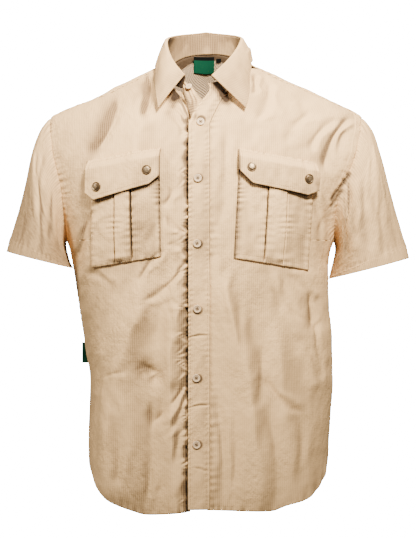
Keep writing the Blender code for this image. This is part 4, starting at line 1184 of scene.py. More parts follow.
# %% The end of the collar stand
# share down the end, outer x, outer z, inner x, inner z
STAND_END = (
    (0.0, -0.047, -0.035, -0.044, -0.029),
    (0.12, -0.0443, -0.04, -0.036, -0.0375),
    (0.32, -0.04, -0.053, -0.0246, -0.0476),
    (0.52, -0.0366, -0.064, -0.0165, -0.059),
    (0.72, -0.033, -0.076, -0.0082, -0.0707),
    (0.88, -0.029, -0.09, -0.009, -0.083),
    (1.0, -0.0262, -0.101, -0.0115, -0.093),
)
STAND_END_LENGTH, STAND_END_HEIGHT = 0.07, 0.018
share, up = np.meshgrid(np.linspace(0.0, 1.0, 54), np.linspace(0.0, 1.0, 22))
along_end, up_end = share * STAND_END_LENGTH, up * STAND_END_HEIGHT
low_x, low_z, top_x, top_z = (curve(STAND_END, column, share) for column in (1, 2, 3, 4))
end_x, end_z = mix(low_x, top_x, up), mix(low_z, top_z, up)
resting = np.minimum(end_z, neck_height_at_x(end_x) - 0.001)
end_points = front_at(end_x, resting, 0.0014)[0]
end_points[..., 1] += 0.3 * (end_z - resting)
end_points[..., 2] = end_z
rumple = creases(((0.006, 0.0085, 0.066, 0.004, 0.002, 0.0016, 0.0022),
                  (0.016, 0.013, 0.06, 0.009, 0.001, 0.0014, 0.0016),
                  (0.002, 0.0035, 0.05, 0.001, -0.001, 0.0013, 0.0018)), along_end, up_end)
rumple += crumple(along_end, up_end, 97, 0.0006)
end_points[..., 1] += rumple * ease(np.minimum(up, 1 - up) / 0.15)
# painted shade on the creases of the stand's end, along its outer edge and at its top
end_shade = 1.8 * rumple + 0.006 * bell(up, 0.2) + 0.005 * (1 - ease(share / 0.2))
stand_end = shell("collar_stand_end", end_points, np.stack([along_end, up_end], -1),
                  end_shade, thickness=0.0014, flip=True)
print("stand end:", len(stand_end.data.polygons), "faces")

# %% [markdown]
# ## Pockets and flaps
#
# Each chest pocket has a box pleat down its middle and a flap with clipped corners held by
# two snaps. The outline tables are corners seen from the front.

# %% Pocket and flap tables
# inner x top, inner x bottom, outer x top, outer x bottom,
# inner z top, inner z bottom, outer z top, outer z bottom
POCKETS = {
    RIGHT: (-0.0765, -0.0745, -0.19, -0.188, -0.164, -0.3281, -0.181, -0.3465),
    LEFT: (0.053, 0.0436, 0.1765, 0.1655, -0.164, -0.3305, -0.186, -0.35),
}
POCKET_LAYER, POCKET_PUFF = 0.0028, 0.0045
POCKET_WIDTH, POCKET_HEIGHT = 0.12, 0.165
PLEATS = {RIGHT: (0.42, 0.645), LEFT: (0.405, 0.647)}
PLEAT_HEIGHT = 0.0024
# inner x, outer x, inner z top, outer z top, inner side z, outer side z,
# inner corner x, inner corner z, outer corner x, outer corner z
FLAPS = {
    RIGHT: (-0.075, -0.1955, -0.1515, -0.17, -0.1966,
            -0.2231, -0.0933, -0.2114, -0.182, -0.2353),
    LEFT: (0.051, 0.1805, -0.1517, -0.1735, -0.1874,
           -0.2183, 0.0735, -0.2098, 0.1616, -0.2266),
}
FLAP_LAYER, FLAP_RISE, FLAP_RISE_SHARE = 0.0024, 0.01, 0.3
FLAP_WIDTH, FLAP_DROP = 0.12, 0.055


# %% Shape the pockets
def pocket_shares(pleat):
    """Shares across a pocket, close together at both edges of the pleat."""
    shares = set(np.linspace(0.0, 1.0, 61).tolist())
    for line in pleat:
        shares |= set((line + np.linspace(-0.024, 0.024, 13)).tolist())
    return np.array(sorted(shares))


def flap_bottom(side, share):
    inner, outer, _, _, low_in, low_out, cx_in, cz_in, cx_out, cz_out = FLAPS[side]
    first, second = (cx_in - inner) / (outer - inner), (cx_out - inner) / (outer - inner)
    return np.interp(share, (0.0, first, second, 1.0), (low_in, cz_in, cz_out, low_out))


def pocket_profile(side, share):
    """The pleat is a raised strip with a sharp groove on both sides."""
    start, end = PLEATS[side]
    raised = PLEAT_HEIGHT * (ease((share - start) / 0.012) - ease((share - end + 0.012) / 0.012))
    groove = 0.004 * bell(share - start + 0.006, 0.009) + 0.0013 * bell(share - end - 0.004, 0.007)
    return raised - groove


def pocket_surface(side, share, down, lift=0.0):
    in_top, in_low, out_top, out_low, z_in, z_in_low, z_out, z_out_low = POCKETS[side]
    x = mix(mix(in_top, out_top, share), mix(in_low, out_low, share), down)
    z = mix(mix(z_in, z_out, share), mix(z_in_low, z_out_low, share), down)
    puff = POCKET_PUFF * np.sin(np.pi * share) * np.sin(np.pi * down) ** 0.7
    to_side = np.minimum(share, 1 - share) * POCKET_WIDTH
    to_bottom = (1 - down) * POCKET_HEIGHT
    calm = ease(np.minimum(to_side, to_bottom) / 0.01)
    small = calm * crumple(x, z, 111 if side > 0 else 113, 0.0008)
    small += puckers(to_side, z, 0.0095, 0.0009, 0.011, 115)
    small += puckers(to_bottom, x, 0.011, 0.0007, 0.01, 117)
    start, end = PLEATS[side]
    for line, seed in ((start, 119), (end, 121)):
        small += puckers(np.abs(share - line) * POCKET_WIDTH, z, 0.012, 0.0008, 0.012, seed)
    raised = pocket_profile(side, share) * ease((1 - down) / 0.06)
    points, under = front_at(x, z, POCKET_LAYER + puff + raised - small + lift)
    # painted shadow: a dark line along the pocket's inner edge, a shadow under the flap, and shade in
    # the gap beside the pleat
    dark = 0.011 * bell(share * POCKET_WIDTH, 0.0028)
    inner, outer = FLAPS[side][:2]
    below = flap_bottom(side, np.clip((x - inner) / (outer - inner), 0.0, 1.0)) - z
    shadow = 0.003 if side > 0 else 0.005
    dark += 0.01 * bell(np.maximum(below, 0.0), shadow)
    gap_wide = 0.009 + 0.007 * soft_noise(z, z * 0.0, 0.03, 123)
    wander = 0.012 * (soft_noise(z, z * 0.0, 0.04, 125) - 0.5)
    gap = 0.0095 * bell(share - start + 0.01 + wander, gap_wide)
    dark += gap * ease(down / 0.1) * ease((1.02 - down) / 0.25)
    return points, 0.4 * under + small - 0.5 * raised + dark, np.stack([x, z], -1)


pockets = {}
for side, word in SIDES:
    share, down = np.meshgrid(pocket_shares(PLEATS[side]), np.linspace(0.0, 1.0, 84))
    points, relief_shade, uv = pocket_surface(side, share, down)
    pockets[side] = shell("pocket_" + word + "_cloth", points, uv, relief_shade, flip=side > 0, lean=LEAN_SHADE)
    print(pockets[side].name, len(pockets[side].data.polygons), "faces")


# %% Shape the flaps
def flap_surface(side, share, down, lift=0.0):
    inner, outer, z_in, z_out = FLAPS[side][:4]
    x = mix(inner, outer, share)
    top = mix(z_in, z_out, share)
    z = mix(top, flap_bottom(side, share), down)
    stand_off = FLAP_LAYER + FLAP_RISE * ease((top - z) / FLAP_DROP / FLAP_RISE_SHARE)
    small = ease(down / 0.15) * crumple(x, z, 131 if side > 0 else 133, 0.0006)
    small += puckers(top - z, x, 0.01, 0.0007, 0.01, 135)
    rim = np.minimum(np.minimum(share, 1 - share) * FLAP_WIDTH, z - flap_bottom(side, share))
    small += puckers(np.abs(rim - 0.005), x + z, 0.011, 0.00035, 0.007, 137)
    points, under = front_at(x, z, stand_off - small + lift)
    # painted shadow along the flap's inner edge
    dark = 0.01 * bell(share * FLAP_WIDTH, 0.0024) * ease(down / 0.1)
    return points, 0.4 * under + small + dark, np.stack([x, z], -1)


flaps = {}
for side, word in SIDES:
    share, down = np.meshgrid(np.linspace(0.0, 1.0, 76), np.linspace(0.0, 1.0, 34))
    points, relief_shade, uv = flap_surface(side, share, down)
    flaps[side] = shell("flap_" + word + "_cloth", points, uv, relief_shade, thickness=0.0014,
                        flip=side > 0, lean=LEAN_SHADE)
    print(flaps[side].name, len(flaps[side].data.polygons), "faces")

# %% [markdown]
# ## Shared effects for the finishes
#
# The cloth is a light nylon with a fine check of thicker threads, crinkled by washing.
# Three effects are used by more than one material, so each is a node group: the woven
# check, the crinkle with painted shade in its low parts, and the painted shade in the folds.

# %% Node helpers
def wire(tree, value, socket):
    """Link a socket to another, or give it a plain value."""
    if isinstance(value, bpy.types.NodeSocket):
        tree.links.new(value, socket)
    else:
        socket.default_value = value


def put(tree, kind, group=None, **sockets):
    """Add a node, and link or set its inputs by name."""
    node = tree.nodes.new(kind)
    if group:
        node.node_tree = group
    for key, value in sockets.items():
        wire(tree, value, node.inputs[key])
    return node


def sums(tree, operation, first, second=0.0, third=None, clamp=False):
    node = tree.nodes.new("ShaderNodeMath")
    node.operation = operation
    node.use_clamp = clamp
    for i, value in enumerate((first, second, third)):
        if value is not None:
            wire(tree, value, node.inputs[i])
    return node.outputs[0]


def blend_colour(tree, share, first, second):
    node = tree.nodes.new("ShaderNodeMix")
    node.data_type = "RGBA"
    for socket, value in ((0, share), (6, first), (7, second)):
        wire(tree, value, node.inputs[socket])
    return node.outputs[2]


def effect(name, inputs, outputs):
    """A shader node group with named inputs and outputs."""
    tree = bpy.data.node_groups.new(name, "ShaderNodeTree")
    for socket, kind, value in inputs:
        made = tree.interface.new_socket(socket, in_out="INPUT", socket_type="NodeSocket" + kind)
        if value is not None:
            made.default_value = value
    for socket, kind in outputs:
        tree.interface.new_socket(socket, in_out="OUTPUT", socket_type="NodeSocket" + kind)
    return tree, tree.nodes.new("NodeGroupInput"), tree.nodes.new("NodeGroupOutput")


def use(tree, group, **sockets):
    return put(tree, "ShaderNodeGroup", group, **sockets)


# %% The woven check
weave, inside, out = effect(
    "woven check",
    (("Place", "Vector", None), ("Rib", "Float", 0.0033), ("Cross", "Float", 0.0029)),
    (("Tone", "Float"), ("Height", "Float")))
place = put(weave, "ShaderNodeSeparateXYZ", Vector=inside.outputs["Place"])
wobble = put(weave, "ShaderNodeTexNoise", Vector=inside.outputs["Place"], Scale=90.0, Detail=1.0)
drift = sums(weave, "MULTIPLY", wobble.outputs["Fac"], 0.0012)


def rib_wave(tree, along, pitch):
    turns = sums(tree, "DIVIDE", sums(tree, "ADD", along, drift), pitch)
    return sums(tree, "SINE", sums(tree, "MULTIPLY", turns, 2 * math.pi))


rib = rib_wave(weave, place.outputs["X"], inside.outputs["Rib"])
cross = rib_wave(weave, place.outputs["Y"], inside.outputs["Cross"])
both = sums(weave, "ADD", sums(weave, "MULTIPLY", rib, 0.78), sums(weave, "MULTIPLY", cross, 0.22))
weave.links.new(sums(weave, "MULTIPLY_ADD", both, 0.5, 0.5), out.inputs["Tone"])
weave.links.new(both, out.inputs["Height"])

# %% The crinkle
crinkle, inside, out = effect(
    "crinkle", (("Place", "Vector", None), ("Amount", "Float", 1.0)),
    (("Height", "Float"), ("Tone", "Float")))
short_map = put(crinkle, "ShaderNodeMapping", Vector=inside.outputs["Place"],
                Scale=(150.0, 105.0, 1.0))
short = put(crinkle, "ShaderNodeTexNoise", Vector=short_map.outputs[0], Scale=1.0, Detail=3.0,
            Roughness=0.6)
long_map = put(crinkle, "ShaderNodeMapping", Vector=inside.outputs["Place"],
               Scale=(58.0, 38.0, 1.0))
long = put(crinkle, "ShaderNodeTexNoise", Vector=long_map.outputs[0], Scale=1.0, Detail=2.0)
patch = put(crinkle, "ShaderNodeTexNoise", Vector=inside.outputs["Place"], Scale=11.0, Detail=1.0)
where = sums(crinkle, "MULTIPLY_ADD", patch.outputs["Fac"], 2.2, -0.55, clamp=True)
fine = sums(crinkle, "MULTIPLY", sums(crinkle, "SUBTRACT", short.outputs["Fac"], 0.5), where)
soft = sums(crinkle, "MULTIPLY", sums(crinkle, "SUBTRACT", long.outputs["Fac"], 0.5), 0.9)
height = sums(crinkle, "MULTIPLY", sums(crinkle, "ADD", fine, soft), inside.outputs["Amount"])
crinkle.links.new(height, out.inputs["Height"])
# its Tone is painted shade in the low parts of the crinkle and painted highlight on the high ones
crinkle.links.new(sums(crinkle, "MULTIPLY_ADD", height, 0.8, 0.5, clamp=True), out.inputs["Tone"])

# %% The shade in the folds
# painted shade from the relief attribute, with an uneven random tone on top
fold_shade, inside, out = effect(
    "fold shade", (("Place", "Vector", None), ("Relief", "Float", 0.0), ("Depth", "Float", 0.006)),
    (("Shade", "Float"),))
cloudy = put(fold_shade, "ShaderNodeTexNoise", Vector=inside.outputs["Place"], Scale=7.0, Detail=2.0)
low = sums(fold_shade, "DIVIDE", inside.outputs["Relief"], inside.outputs["Depth"])
cloud = sums(fold_shade, "MULTIPLY_ADD", cloudy.outputs["Fac"], 0.3, -0.15)
fold_shade.links.new(sums(fold_shade, "ADD", sums(fold_shade, "ADD", low, cloud), 0.22, clamp=True),
                     out.inputs["Shade"])
print("effects:", [group.name for group in bpy.data.node_groups])

# %% [markdown]
# ## The finishes
#
# Each finish is a Principled shader. Colours that change over the surface come from the
# effects, and what is the same all over is set on the shader itself.


# %% Cloth finish
def new_finish(name, roughness, metallic=0.0, shine=0.5):
    """A material with its tree and shader; `shine` is the strength of its plain reflection."""
    made = bpy.data.materials.new(name)
    made.use_nodes = True
    shader = made.node_tree.nodes["Principled BSDF"]
    shader.inputs["Roughness"].default_value = roughness
    shader.inputs["Metallic"].default_value = metallic
    shader.inputs["Specular IOR Level"].default_value = shine
    return made, made.node_tree, shader


def bump(tree, shader, height, distance):
    node = put(tree, "ShaderNodeBump", Height=height, Distance=distance, Strength=1.0)
    tree.links.new(node.outputs["Normal"], shader.inputs["Normal"])


# the cloth's own colour, its painted shade, and the nearly black painted shade of the deepest gaps
CLOTH_LIGHT = (0.76, 0.495, 0.242, 1.0)
CLOTH_SHADE = (0.1, 0.06, 0.034, 1.0)
CLOTH_DEEP_SHADE = (0.036, 0.022, 0.013, 1.0)
# painted shade for the inner side of the yoke, under the net
LINING_SHADE_LIGHT = (0.06, 0.037, 0.021, 1.0)
LINING_SHADE_DARK = (0.03, 0.018, 0.01, 1.0)


def cloth_finish(name, light=CLOTH_LIGHT, dark=CLOTH_SHADE, crinkled=1.0):
    """Woven cloth: painted shade from the relief moves its colour from light to dark, and to nearly
    black in the deepest gaps.
    """
    made, tree, shader = new_finish(name, 0.82, shine=0.12)
    uv = put(tree, "ShaderNodeUVMap")
    uv.uv_map = "cloth"
    spot = put(tree, "ShaderNodeTexCoord")
    relief_shade = put(tree, "ShaderNodeAttribute")
    relief_shade.attribute_name = "relief_shade"
    threads = use(tree, weave, Place=uv.outputs[0])
    wrinkles = use(tree, crinkle, Place=uv.outputs[0], Amount=crinkled)
    shade = use(tree, fold_shade, Place=spot.outputs["Object"], Relief=relief_shade.outputs["Fac"])
    # colour: thread tone, then painted shade from the relief and the crinkle, and nearly black
    # painted shade in the deepest gaps
    tone = sums(tree, "MULTIPLY_ADD", threads.outputs["Tone"], 0.28, -0.14)
    share = sums(tree, "ADD", sums(tree, "MULTIPLY", shade.outputs["Shade"], 0.8), tone)
    share = sums(tree, "SUBTRACT", share,
                 sums(tree, "MULTIPLY_ADD", wrinkles.outputs["Tone"], 0.16, -0.08), clamp=True)
    deep_shade = sums(tree, "MULTIPLY_ADD", relief_shade.outputs["Fac"], 190.0, -1.3, clamp=True)
    colour = blend_colour(tree, deep_shade, blend_colour(tree, share, light, dark), CLOTH_DEEP_SHADE)
    tree.links.new(colour, shader.inputs["Base Color"])
    tree.links.new(sums(tree, "MULTIPLY_ADD", threads.outputs["Tone"], 0.14, 0.74),
                   shader.inputs["Roughness"])
    height = sums(tree, "ADD", sums(tree, "MULTIPLY", threads.outputs["Height"], 0.03),
                  wrinkles.outputs["Height"])
    bump(tree, shader, height, 0.0026)
    return made


shirt_cloth = cloth_finish("shirt cloth")
smooth_cloth = cloth_finish("collar cloth", crinkled=0.45)
yoke_inner_shade_cloth = cloth_finish("cloth in the shade of the lining", LINING_SHADE_LIGHT, LINING_SHADE_DARK)


# %% Thread, button, snap, label and net finishes
def noisy_finish(name, light, dark, roughness, scale, metallic=0.0, stretch=1, shine=0.12):
    """A finish whose colour and roughness wander with a noise on the piece's own place."""
    made, tree, shader = new_finish(name, roughness, metallic, shine=shine)
    spot = put(tree, "ShaderNodeTexCoord")
    scaled = put(tree, "ShaderNodeMapping", Vector=spot.outputs["Object"], Scale=(1, 1, stretch))
    noise = put(tree, "ShaderNodeTexNoise", Vector=scaled.outputs[0], Scale=scale, Detail=3.0)
    colour = blend_colour(tree, noise.outputs["Fac"], (*light, 1.0), (*dark, 1.0))
    tree.links.new(colour, shader.inputs["Base Color"])
    tree.links.new(sums(tree, "MULTIPLY_ADD", noise.outputs["Fac"], 0.3, roughness - 0.15),
                   shader.inputs["Roughness"])
    bump(tree, shader, noise.outputs["Fac"], 0.0002)
    return made


thread_finish = noisy_finish("sewing thread", (0.52, 0.35, 0.19), (0.36, 0.23, 0.12), 0.75, 900.0)
button_thread = noisy_finish("button thread", (0.06, 0.035, 0.02), (0.03, 0.018, 0.01), 0.8, 900.0)
button_finish = noisy_finish("cream button", (0.66, 0.48, 0.31), (0.56, 0.4, 0.25), 0.35, 260.0,
                             shine=0.3)
# painted shade in the middle of each button
button_well_shade = noisy_finish("shaded button middle", (0.38, 0.26, 0.16), (0.3, 0.2, 0.12),
                           0.5, 400.0)
snap_ring = noisy_finish("bronze ring", (0.14, 0.09, 0.05), (0.07, 0.045, 0.025), 0.42, 700.0, 0.8)
snap_centre = noisy_finish("bronze centre", (0.3, 0.21, 0.13), (0.2, 0.14, 0.08), 0.36, 500.0,
                           0.8, stretch=6)
green_label = noisy_finish("green label", (0.001, 0.052, 0.026), (0.001, 0.034, 0.017), 0.7, 1500.0,
                           stretch=3)
black_tab = noisy_finish("black tab", (0.004, 0.0045, 0.004), (0.002, 0.002, 0.002), 0.7, 1500.0,
                         shine=0.04)
net_finish = noisy_finish("lining net", (0.56, 0.41, 0.27), (0.44, 0.31, 0.2), 0.85, 800.0)


def dress(piece, *finishes):
    for each in finishes:
        piece.data.materials.append(each)


print("finishes:", len(bpy.data.materials))

# %% [markdown]
# ## Buttons and snaps
#
# Both are turned pieces, so each starts as a cylinder whose top face is inset and pushed up
# or down a few times. One of each is modelled at the origin, and each copy is laid on the
# cloth, facing straight out of it, where the frame has its plain one.

# %% Turned pieces
def pick_cap(piece, upper):
    """Select the top or bottom face of a turned piece in edit mode."""
    bpy.ops.object.mode_set(mode="EDIT")
    bpy.ops.mesh.select_mode(type="FACE")
    bpy.ops.mesh.select_all(action="DESELECT")
    work = bmesh.from_edit_mesh(piece.data)
    flat = [face for face in work.faces if abs(face.normal.z) > 0.99]
    chosen = max(flat, key=lambda face: face.calc_center_median().z * (1 if upper else -1))
    chosen.select = True
    work.faces.active = chosen
    bmesh.update_edit_mesh(piece.data)


def turned_piece(name, radius, height, sides, top_steps, bottom_steps, bevel):
    """A cylinder whose caps are shaped by insets; a step is (inset, rise), in millimetres."""
    bpy.ops.object.select_all(action="DESELECT")
    bpy.ops.mesh.primitive_cylinder_add(vertices=sides, radius=radius * MM, depth=height * MM,
                                        location=(0.0, 0.0, height / 2 * MM))
    piece = bpy.context.object
    piece.name = name
    bpy.ops.object.transform_apply(location=True, rotation=True, scale=True)
    for upper, steps in ((True, top_steps), (False, bottom_steps)):
        pick_cap(piece, upper)
        for inset, rise in steps:
            bpy.ops.mesh.inset(thickness=inset * MM, depth=0.0)
            bpy.ops.transform.translate(value=(0.0, 0.0, rise * MM))
        bpy.ops.object.mode_set(mode="OBJECT")
    finish_by(piece, "BEVEL", width=bevel * MM, segments=2, limit_method="ANGLE",
              angle_limit=math.radians(28.0))
    return piece


MM = 0.001
HOLE_PLACE = 1.35 * MM
model_button = turned_piece("model_button", 6.5, 1.7, 48,
                            ((0.55, 0.55), (0.75, 0.1), (0.7, -0.75), (1.2, -0.06)),
                            ((1.4, -0.5),), 0.14)
for right in (-1, 1):
    for up in (-1, 1):
        bpy.ops.object.select_all(action="DESELECT")
        bpy.ops.mesh.primitive_cylinder_add(vertices=16, radius=0.75 * MM, depth=9 * MM,
                                            location=(right * HOLE_PLACE, up * HOLE_PLACE, 0.0))
        drill = bpy.context.object
        finish_by(model_button, "BOOLEAN", operation="DIFFERENCE", object=drill)
        bpy.data.objects.remove(drill, do_unlink=True)
model_cap = turned_piece("model_cap", 7.7, 1.1, 56,
                         ((0.5, 0.45), (0.7, 0.05), (0.45, -0.45), (0.25, 0.1),
                          (0.9, 0.45), (1.3, 0.3), (1.6, 0.14)),
                         ((1.0, 0.0),), 0.1)
for model in (model_button, model_cap):
    model.data.shade_smooth()
    model.data.set_sharp_from_angle(angle=math.radians(40.0))
print("button:", len(model_button.data.polygons), "snap:", len(model_cap.data.polygons))


# %% Lay the copies on the cloth
def seat_on(cloth, node, lift, turn=0.0):
    """Matrix that stands a piece on cloth at a frame node, facing out of the cloth."""
    middle = sum(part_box(node), Vector()) / 2
    place = cloth.closest_point_on_mesh(middle + Vector((0.0, -0.01, 0.0)))[1]
    seen = [cloth.closest_point_on_mesh(place + Vector((dx, -0.004, dz)))[2]
            for dx in (-0.005, 0.0, 0.005) for dz in (-0.005, 0.0, 0.005)]
    facing = sum((n if n.y < 0 else -n for n in seen), Vector()).normalized()
    stand = facing.to_track_quat("Z", "Y").to_matrix().to_4x4()
    return (Matrix.Translation(place + facing * lift) @ stand
            @ Matrix.Rotation(math.radians(turn), 4, "Z"))


def laid_copy(model, name, matrix):
    piece = new_object(name, model.data.copy())
    piece.data.transform(matrix)
    return piece


def bar(start, end, arch, radius):
    """A short thread from one point to another that bows up in the middle."""
    sides, steps = 6, 8
    start, end = Vector(start), Vector(end)
    side = (end - start).normalized().cross(Vector((0, 0, 1)))
    verts, faces = [], []
    for i in range(steps + 1):
        t = i / steps
        centre = start.lerp(end, t) + Vector((0, 0, arch * math.sin(math.pi * t)))
        for k in range(sides):
            turn = 2 * math.pi * k / sides
            verts.append(centre + side * radius * math.cos(turn)
                         + Vector((0, 0, radius * math.sin(turn))))
    for i in range(steps):
        for k in range(sides):
            after = (k + 1) % sides
            faces.append((i * sides + k, (i + 1) * sides + k, (i + 1) * sides + after,
                          i * sides + after))
    faces.append(tuple(range(sides)))
    faces.append(tuple(reversed(range(steps * sides, (steps + 1) * sides))))
    return verts, faces


def mesh_piece(name, verts, faces):
    mesh = bpy.data.meshes.new(name)
    mesh.from_pydata([tuple(v) for v in verts], [], faces)
    work = bmesh.new()
    work.from_mesh(mesh)
    bmesh.ops.recalc_face_normals(work, faces=work.faces)
    work.to_mesh(mesh)
    work.free()
    mesh.shade_smooth()
    return new_object(name, mesh)


BUTTON_TURNS = (4.0, -3.0, 22.0, 28.0, 2.0, 18.0)
BUTTON_WELL, SNAP_CENTRE = 3.9 * MM, 4.9 * MM
small_parts, thread_verts, thread_faces = [], [], []


def add_thread(matrix, start, end, arch, radius):
    """One more thread in the mesh of all button threads; the sizes are in millimetres."""
    verts, faces = bar(Vector(start) * MM, Vector(end) * MM, arch * MM, radius * MM)
    base = len(thread_verts)
    thread_verts.extend(matrix @ v for v in verts)
    thread_faces.extend(tuple(base + i for i in face) for face in faces)


for number, turn in enumerate(BUTTON_TURNS, 1):
    node = f"button_{number}"
    matrix = seat_on(placket, node, 0.9 * MM, turn)
    piece = laid_copy(model_button, node + "_turned", matrix)
    dress(piece, button_finish, button_well_shade)
    # faces near the middle of the button take the painted shade
    for face in piece.data.polygons:
        if (Vector(face.center) - matrix.translation).length < BUTTON_WELL:
            face.material_index = 1
    small_parts.append((piece, node, "cream_button"))
    for up in (-1.35, 1.35):
        for shift in (-0.22, 0.22):
            add_thread(matrix, (shift - 1.35, up, 1.15), (shift + 1.35, -up, 1.15), 0.75, 0.2)
    add_thread(matrix, (-0.9, 0.0, -1.2), (0.9, 0.0, -1.2), 1.0, 0.9)
button_threads = mesh_piece("button_threads", thread_verts, thread_faces)
dress(button_threads, button_thread)

for number in range(1, 5):
    node = f"snap_{number}"
    cloth = flaps[RIGHT] if number < 3 else flaps[LEFT]
    piece = laid_copy(model_cap, node + "_cap", seat_on(cloth, node, 0.25 * MM))
    dress(piece, snap_ring, snap_centre)
    middle = sum(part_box(node), Vector()) / 2
    for face in piece.data.polygons:
        flat = Vector(face.center) - middle
        if math.hypot(flat.x, flat.z) < SNAP_CENTRE:
            face.material_index = 1
    small_parts.append((piece, node, "bronze_snap"))
COLLAR_BUTTON = Vector((-0.03, -0.0835, -0.0468))
tilt = Vector((-0.25, -0.75, 0.6)).to_track_quat("Z", "Y").to_matrix().to_4x4()
collar_button = laid_copy(model_button, "collar_stand_button",
                          Matrix.Translation(COLLAR_BUTTON) @ tilt @ Matrix.Scale(0.85, 4))
dress(collar_button, button_finish)
for model in (model_button, model_cap):
    bpy.data.objects.remove(model, do_unlink=True)
print("laid:", len(small_parts), "buttons and snaps")

# %% [markdown]
# ## The net lining, the labels and the side tag
#
# An open net lines the yoke, so that air moves over the shoulders. A net is a grid of
# diamonds, and each diamond is a small frame round a hole. The labels are blank.


# %% The net
NET_COLUMNS, NET_ROWS, NET_HOLE = 248, 56, 0.7
LINING_LAYER = 0.0045


def net_mesh(name, points):
    """Frames of threads round the diamonds of a grid of points."""
    rows, columns = points.shape[:2]
    verts = points.reshape(-1, 3).tolist()
    faces = []
    for r in range(1, rows - 1):
        for c in range(1 + r % 2, columns - 1, 2):
            ring = [(r - 1) * columns + c, r * columns + c + 1, (r + 1) * columns + c,
                    r * columns + c - 1]
            middle = np.mean([verts[i] for i in ring], axis=0)
            inner = []
            for i in ring:
                inner.append(len(verts))
                verts.append((middle + (np.array(verts[i]) - middle) * NET_HOLE).tolist())
            for k in range(4):
                after = (k + 1) % 4
                faces.append((ring[k], ring[after], inner[after], inner[k]))
    used = sorted({i for face in faces for i in face})
    number = {old: new for new, old in enumerate(used)}
    mesh = bpy.data.meshes.new(name)
    mesh.from_pydata([verts[i] for i in used], [], [tuple(number[i] for i in f) for f in faces])
    return new_object(name, mesh)


net_base = yoke_base(NET_COLUMNS, NET_ROWS, 0.05, 0.992, inset=26)
yoke_net = net_mesh("yoke_net", lifted(net_base, -LINING_LAYER))
finish_by(yoke_net, "SOLIDIFY", "thread thickness", thickness=0.0004, offset=0.0)
dress(yoke_net, net_finish)
print("net:", len(yoke_net.data.polygons), "faces")

# the yoke's inner faces take the painted shade under the net
dress(yoke, shirt_cloth, yoke_inner_shade_cloth)
centres = np.array([face.center for face in yoke.data.polygons])
normals = np.array([face.normal for face in yoke.data.polygons])
inward = np.sum(normals * outward(centres), axis=-1) < -0.2
yoke.data.polygons.foreach_set("material_index", inward.astype(np.int32))
print("faces on the inner side of the yoke:", int(inward.sum()))


# %% Labels
def label_points(centre, width, top, bottom, lift):
    across, z = np.meshgrid(np.linspace(-0.5, 0.5, 28), np.linspace(top, bottom, 20))
    x = centre + width * across
    side = np.where(x > 0, LEFT, RIGHT)
    points = form(side, angle_at_x(side, x, z, True), z)
    curl = 0.0006 * np.cos(across * np.pi * 2.2) * ((top - z) / (top - bottom)) ** 2
    return lifted(points, lift - curl), np.stack([x, z], -1)


# middle, width, top and bottom
NECK_LABEL = (-0.0056, 0.0392, 0.0225, -0.0052)
points, uv = label_points(*NECK_LABEL, -LINING_LAYER - 0.002)
neck_label = shell("neck_label_cloth", points, uv, np.zeros(points.shape[:2]),
                   thickness=0.0006)
dress(neck_label, green_label, black_tab)
BLACK_STRIP = 0.0082
for face in neck_label.data.polygons:
    if face.center.z > NECK_LABEL[2] - BLACK_STRIP:
        face.material_index = 1
size_tab = frame["nodes"]["size_tab"]
size_tab.data.materials.clear()
dress(size_tab, black_tab)

low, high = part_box("side_tag")
across, z = np.meshgrid(np.linspace(0.0, 1.0, 14), np.linspace(high.z, low.z, 40))
tag = np.stack([high.x + (low.x + 0.0045 - high.x) * across,
                0.0012 * np.sin(z * 260.0) * across + 0.0006 * across, z], -1)
side_tag = shell("side_tag_cloth", tag, np.stack([across * 0.0085, z], -1), np.zeros(z.shape),
                 thickness=0.0011)
dress(side_tag, green_label)
print("labels:", neck_label.name, side_tag.name)

# %% [markdown]
# ## Stitches
#
# Rows of stitches hold every edge of the shirt. A stitch is a short grain of thread, three
# millimetres from the next, pressed half into the cloth. Each row is a line of places near
# a panel, and each stitch is laid on the nearest point of the finished cloth.

# %% Sewing
STITCH_PITCH, STITCH_LENGTH, STITCH_WIDTH = 0.0031, 0.0022, 0.00036
SEW_LIFT = 0.004


def sew(name, cloth, lines):
    """Rows of stitches on one piece of cloth, as one mesh."""
    verts, faces = [], []
    for line in lines:
        centres = places_on(line, np.arange(STITCH_PITCH / 2, run_along(line)[-1], STITCH_PITCH))
        placed = []
        for centre in centres:
            hit, place, normal, _ = cloth.closest_point_on_mesh(Vector(centre))
            if hit and (place - Vector(centre)).length < 0.02:
                toward = Vector(centre) - place
                placed.append((place, normal if normal.dot(toward) >= 0 else -normal))
        for i in range(len(placed) - 1):
            place, normal = placed[i]
            run = placed[i + 1][0] - place
            if not 0.3 * STITCH_PITCH < run.length < 2.0 * STITCH_PITCH:
                continue
            run = run.normalized()
            side = run.cross(normal).normalized()
            middle = place + normal * 0.0001
            ends = (middle - run * STITCH_LENGTH / 2, middle + run * STITCH_LENGTH / 2)
            base = len(verts)
            verts.append(ends[0] - normal * 0.0002)
            for share in (0.22, 0.78):
                centre = ends[0].lerp(ends[1], share)
                verts += [centre + side * STITCH_WIDTH, centre + normal * STITCH_WIDTH * 0.8,
                          centre - side * STITCH_WIDTH, centre - normal * STITCH_WIDTH]
            verts.append(ends[1] - normal * 0.0002)
            for k in range(4):
                after = (k + 1) % 4
                faces.append((base, base + 1 + after, base + 1 + k))
                faces.append((base + 1 + k, base + 1 + after, base + 5 + after, base + 5 + k))
                faces.append((base + 9, base + 5 + k, base + 5 + after))
    piece = mesh_piece(name, verts, faces)
    dress(piece, thread_finish)
    return piece


def beside_placket(z, inset):
    """A line down the placket, a little in front of the cloth."""
    return front_at(placket_edge(z) + inset, z, 0.01)[0]


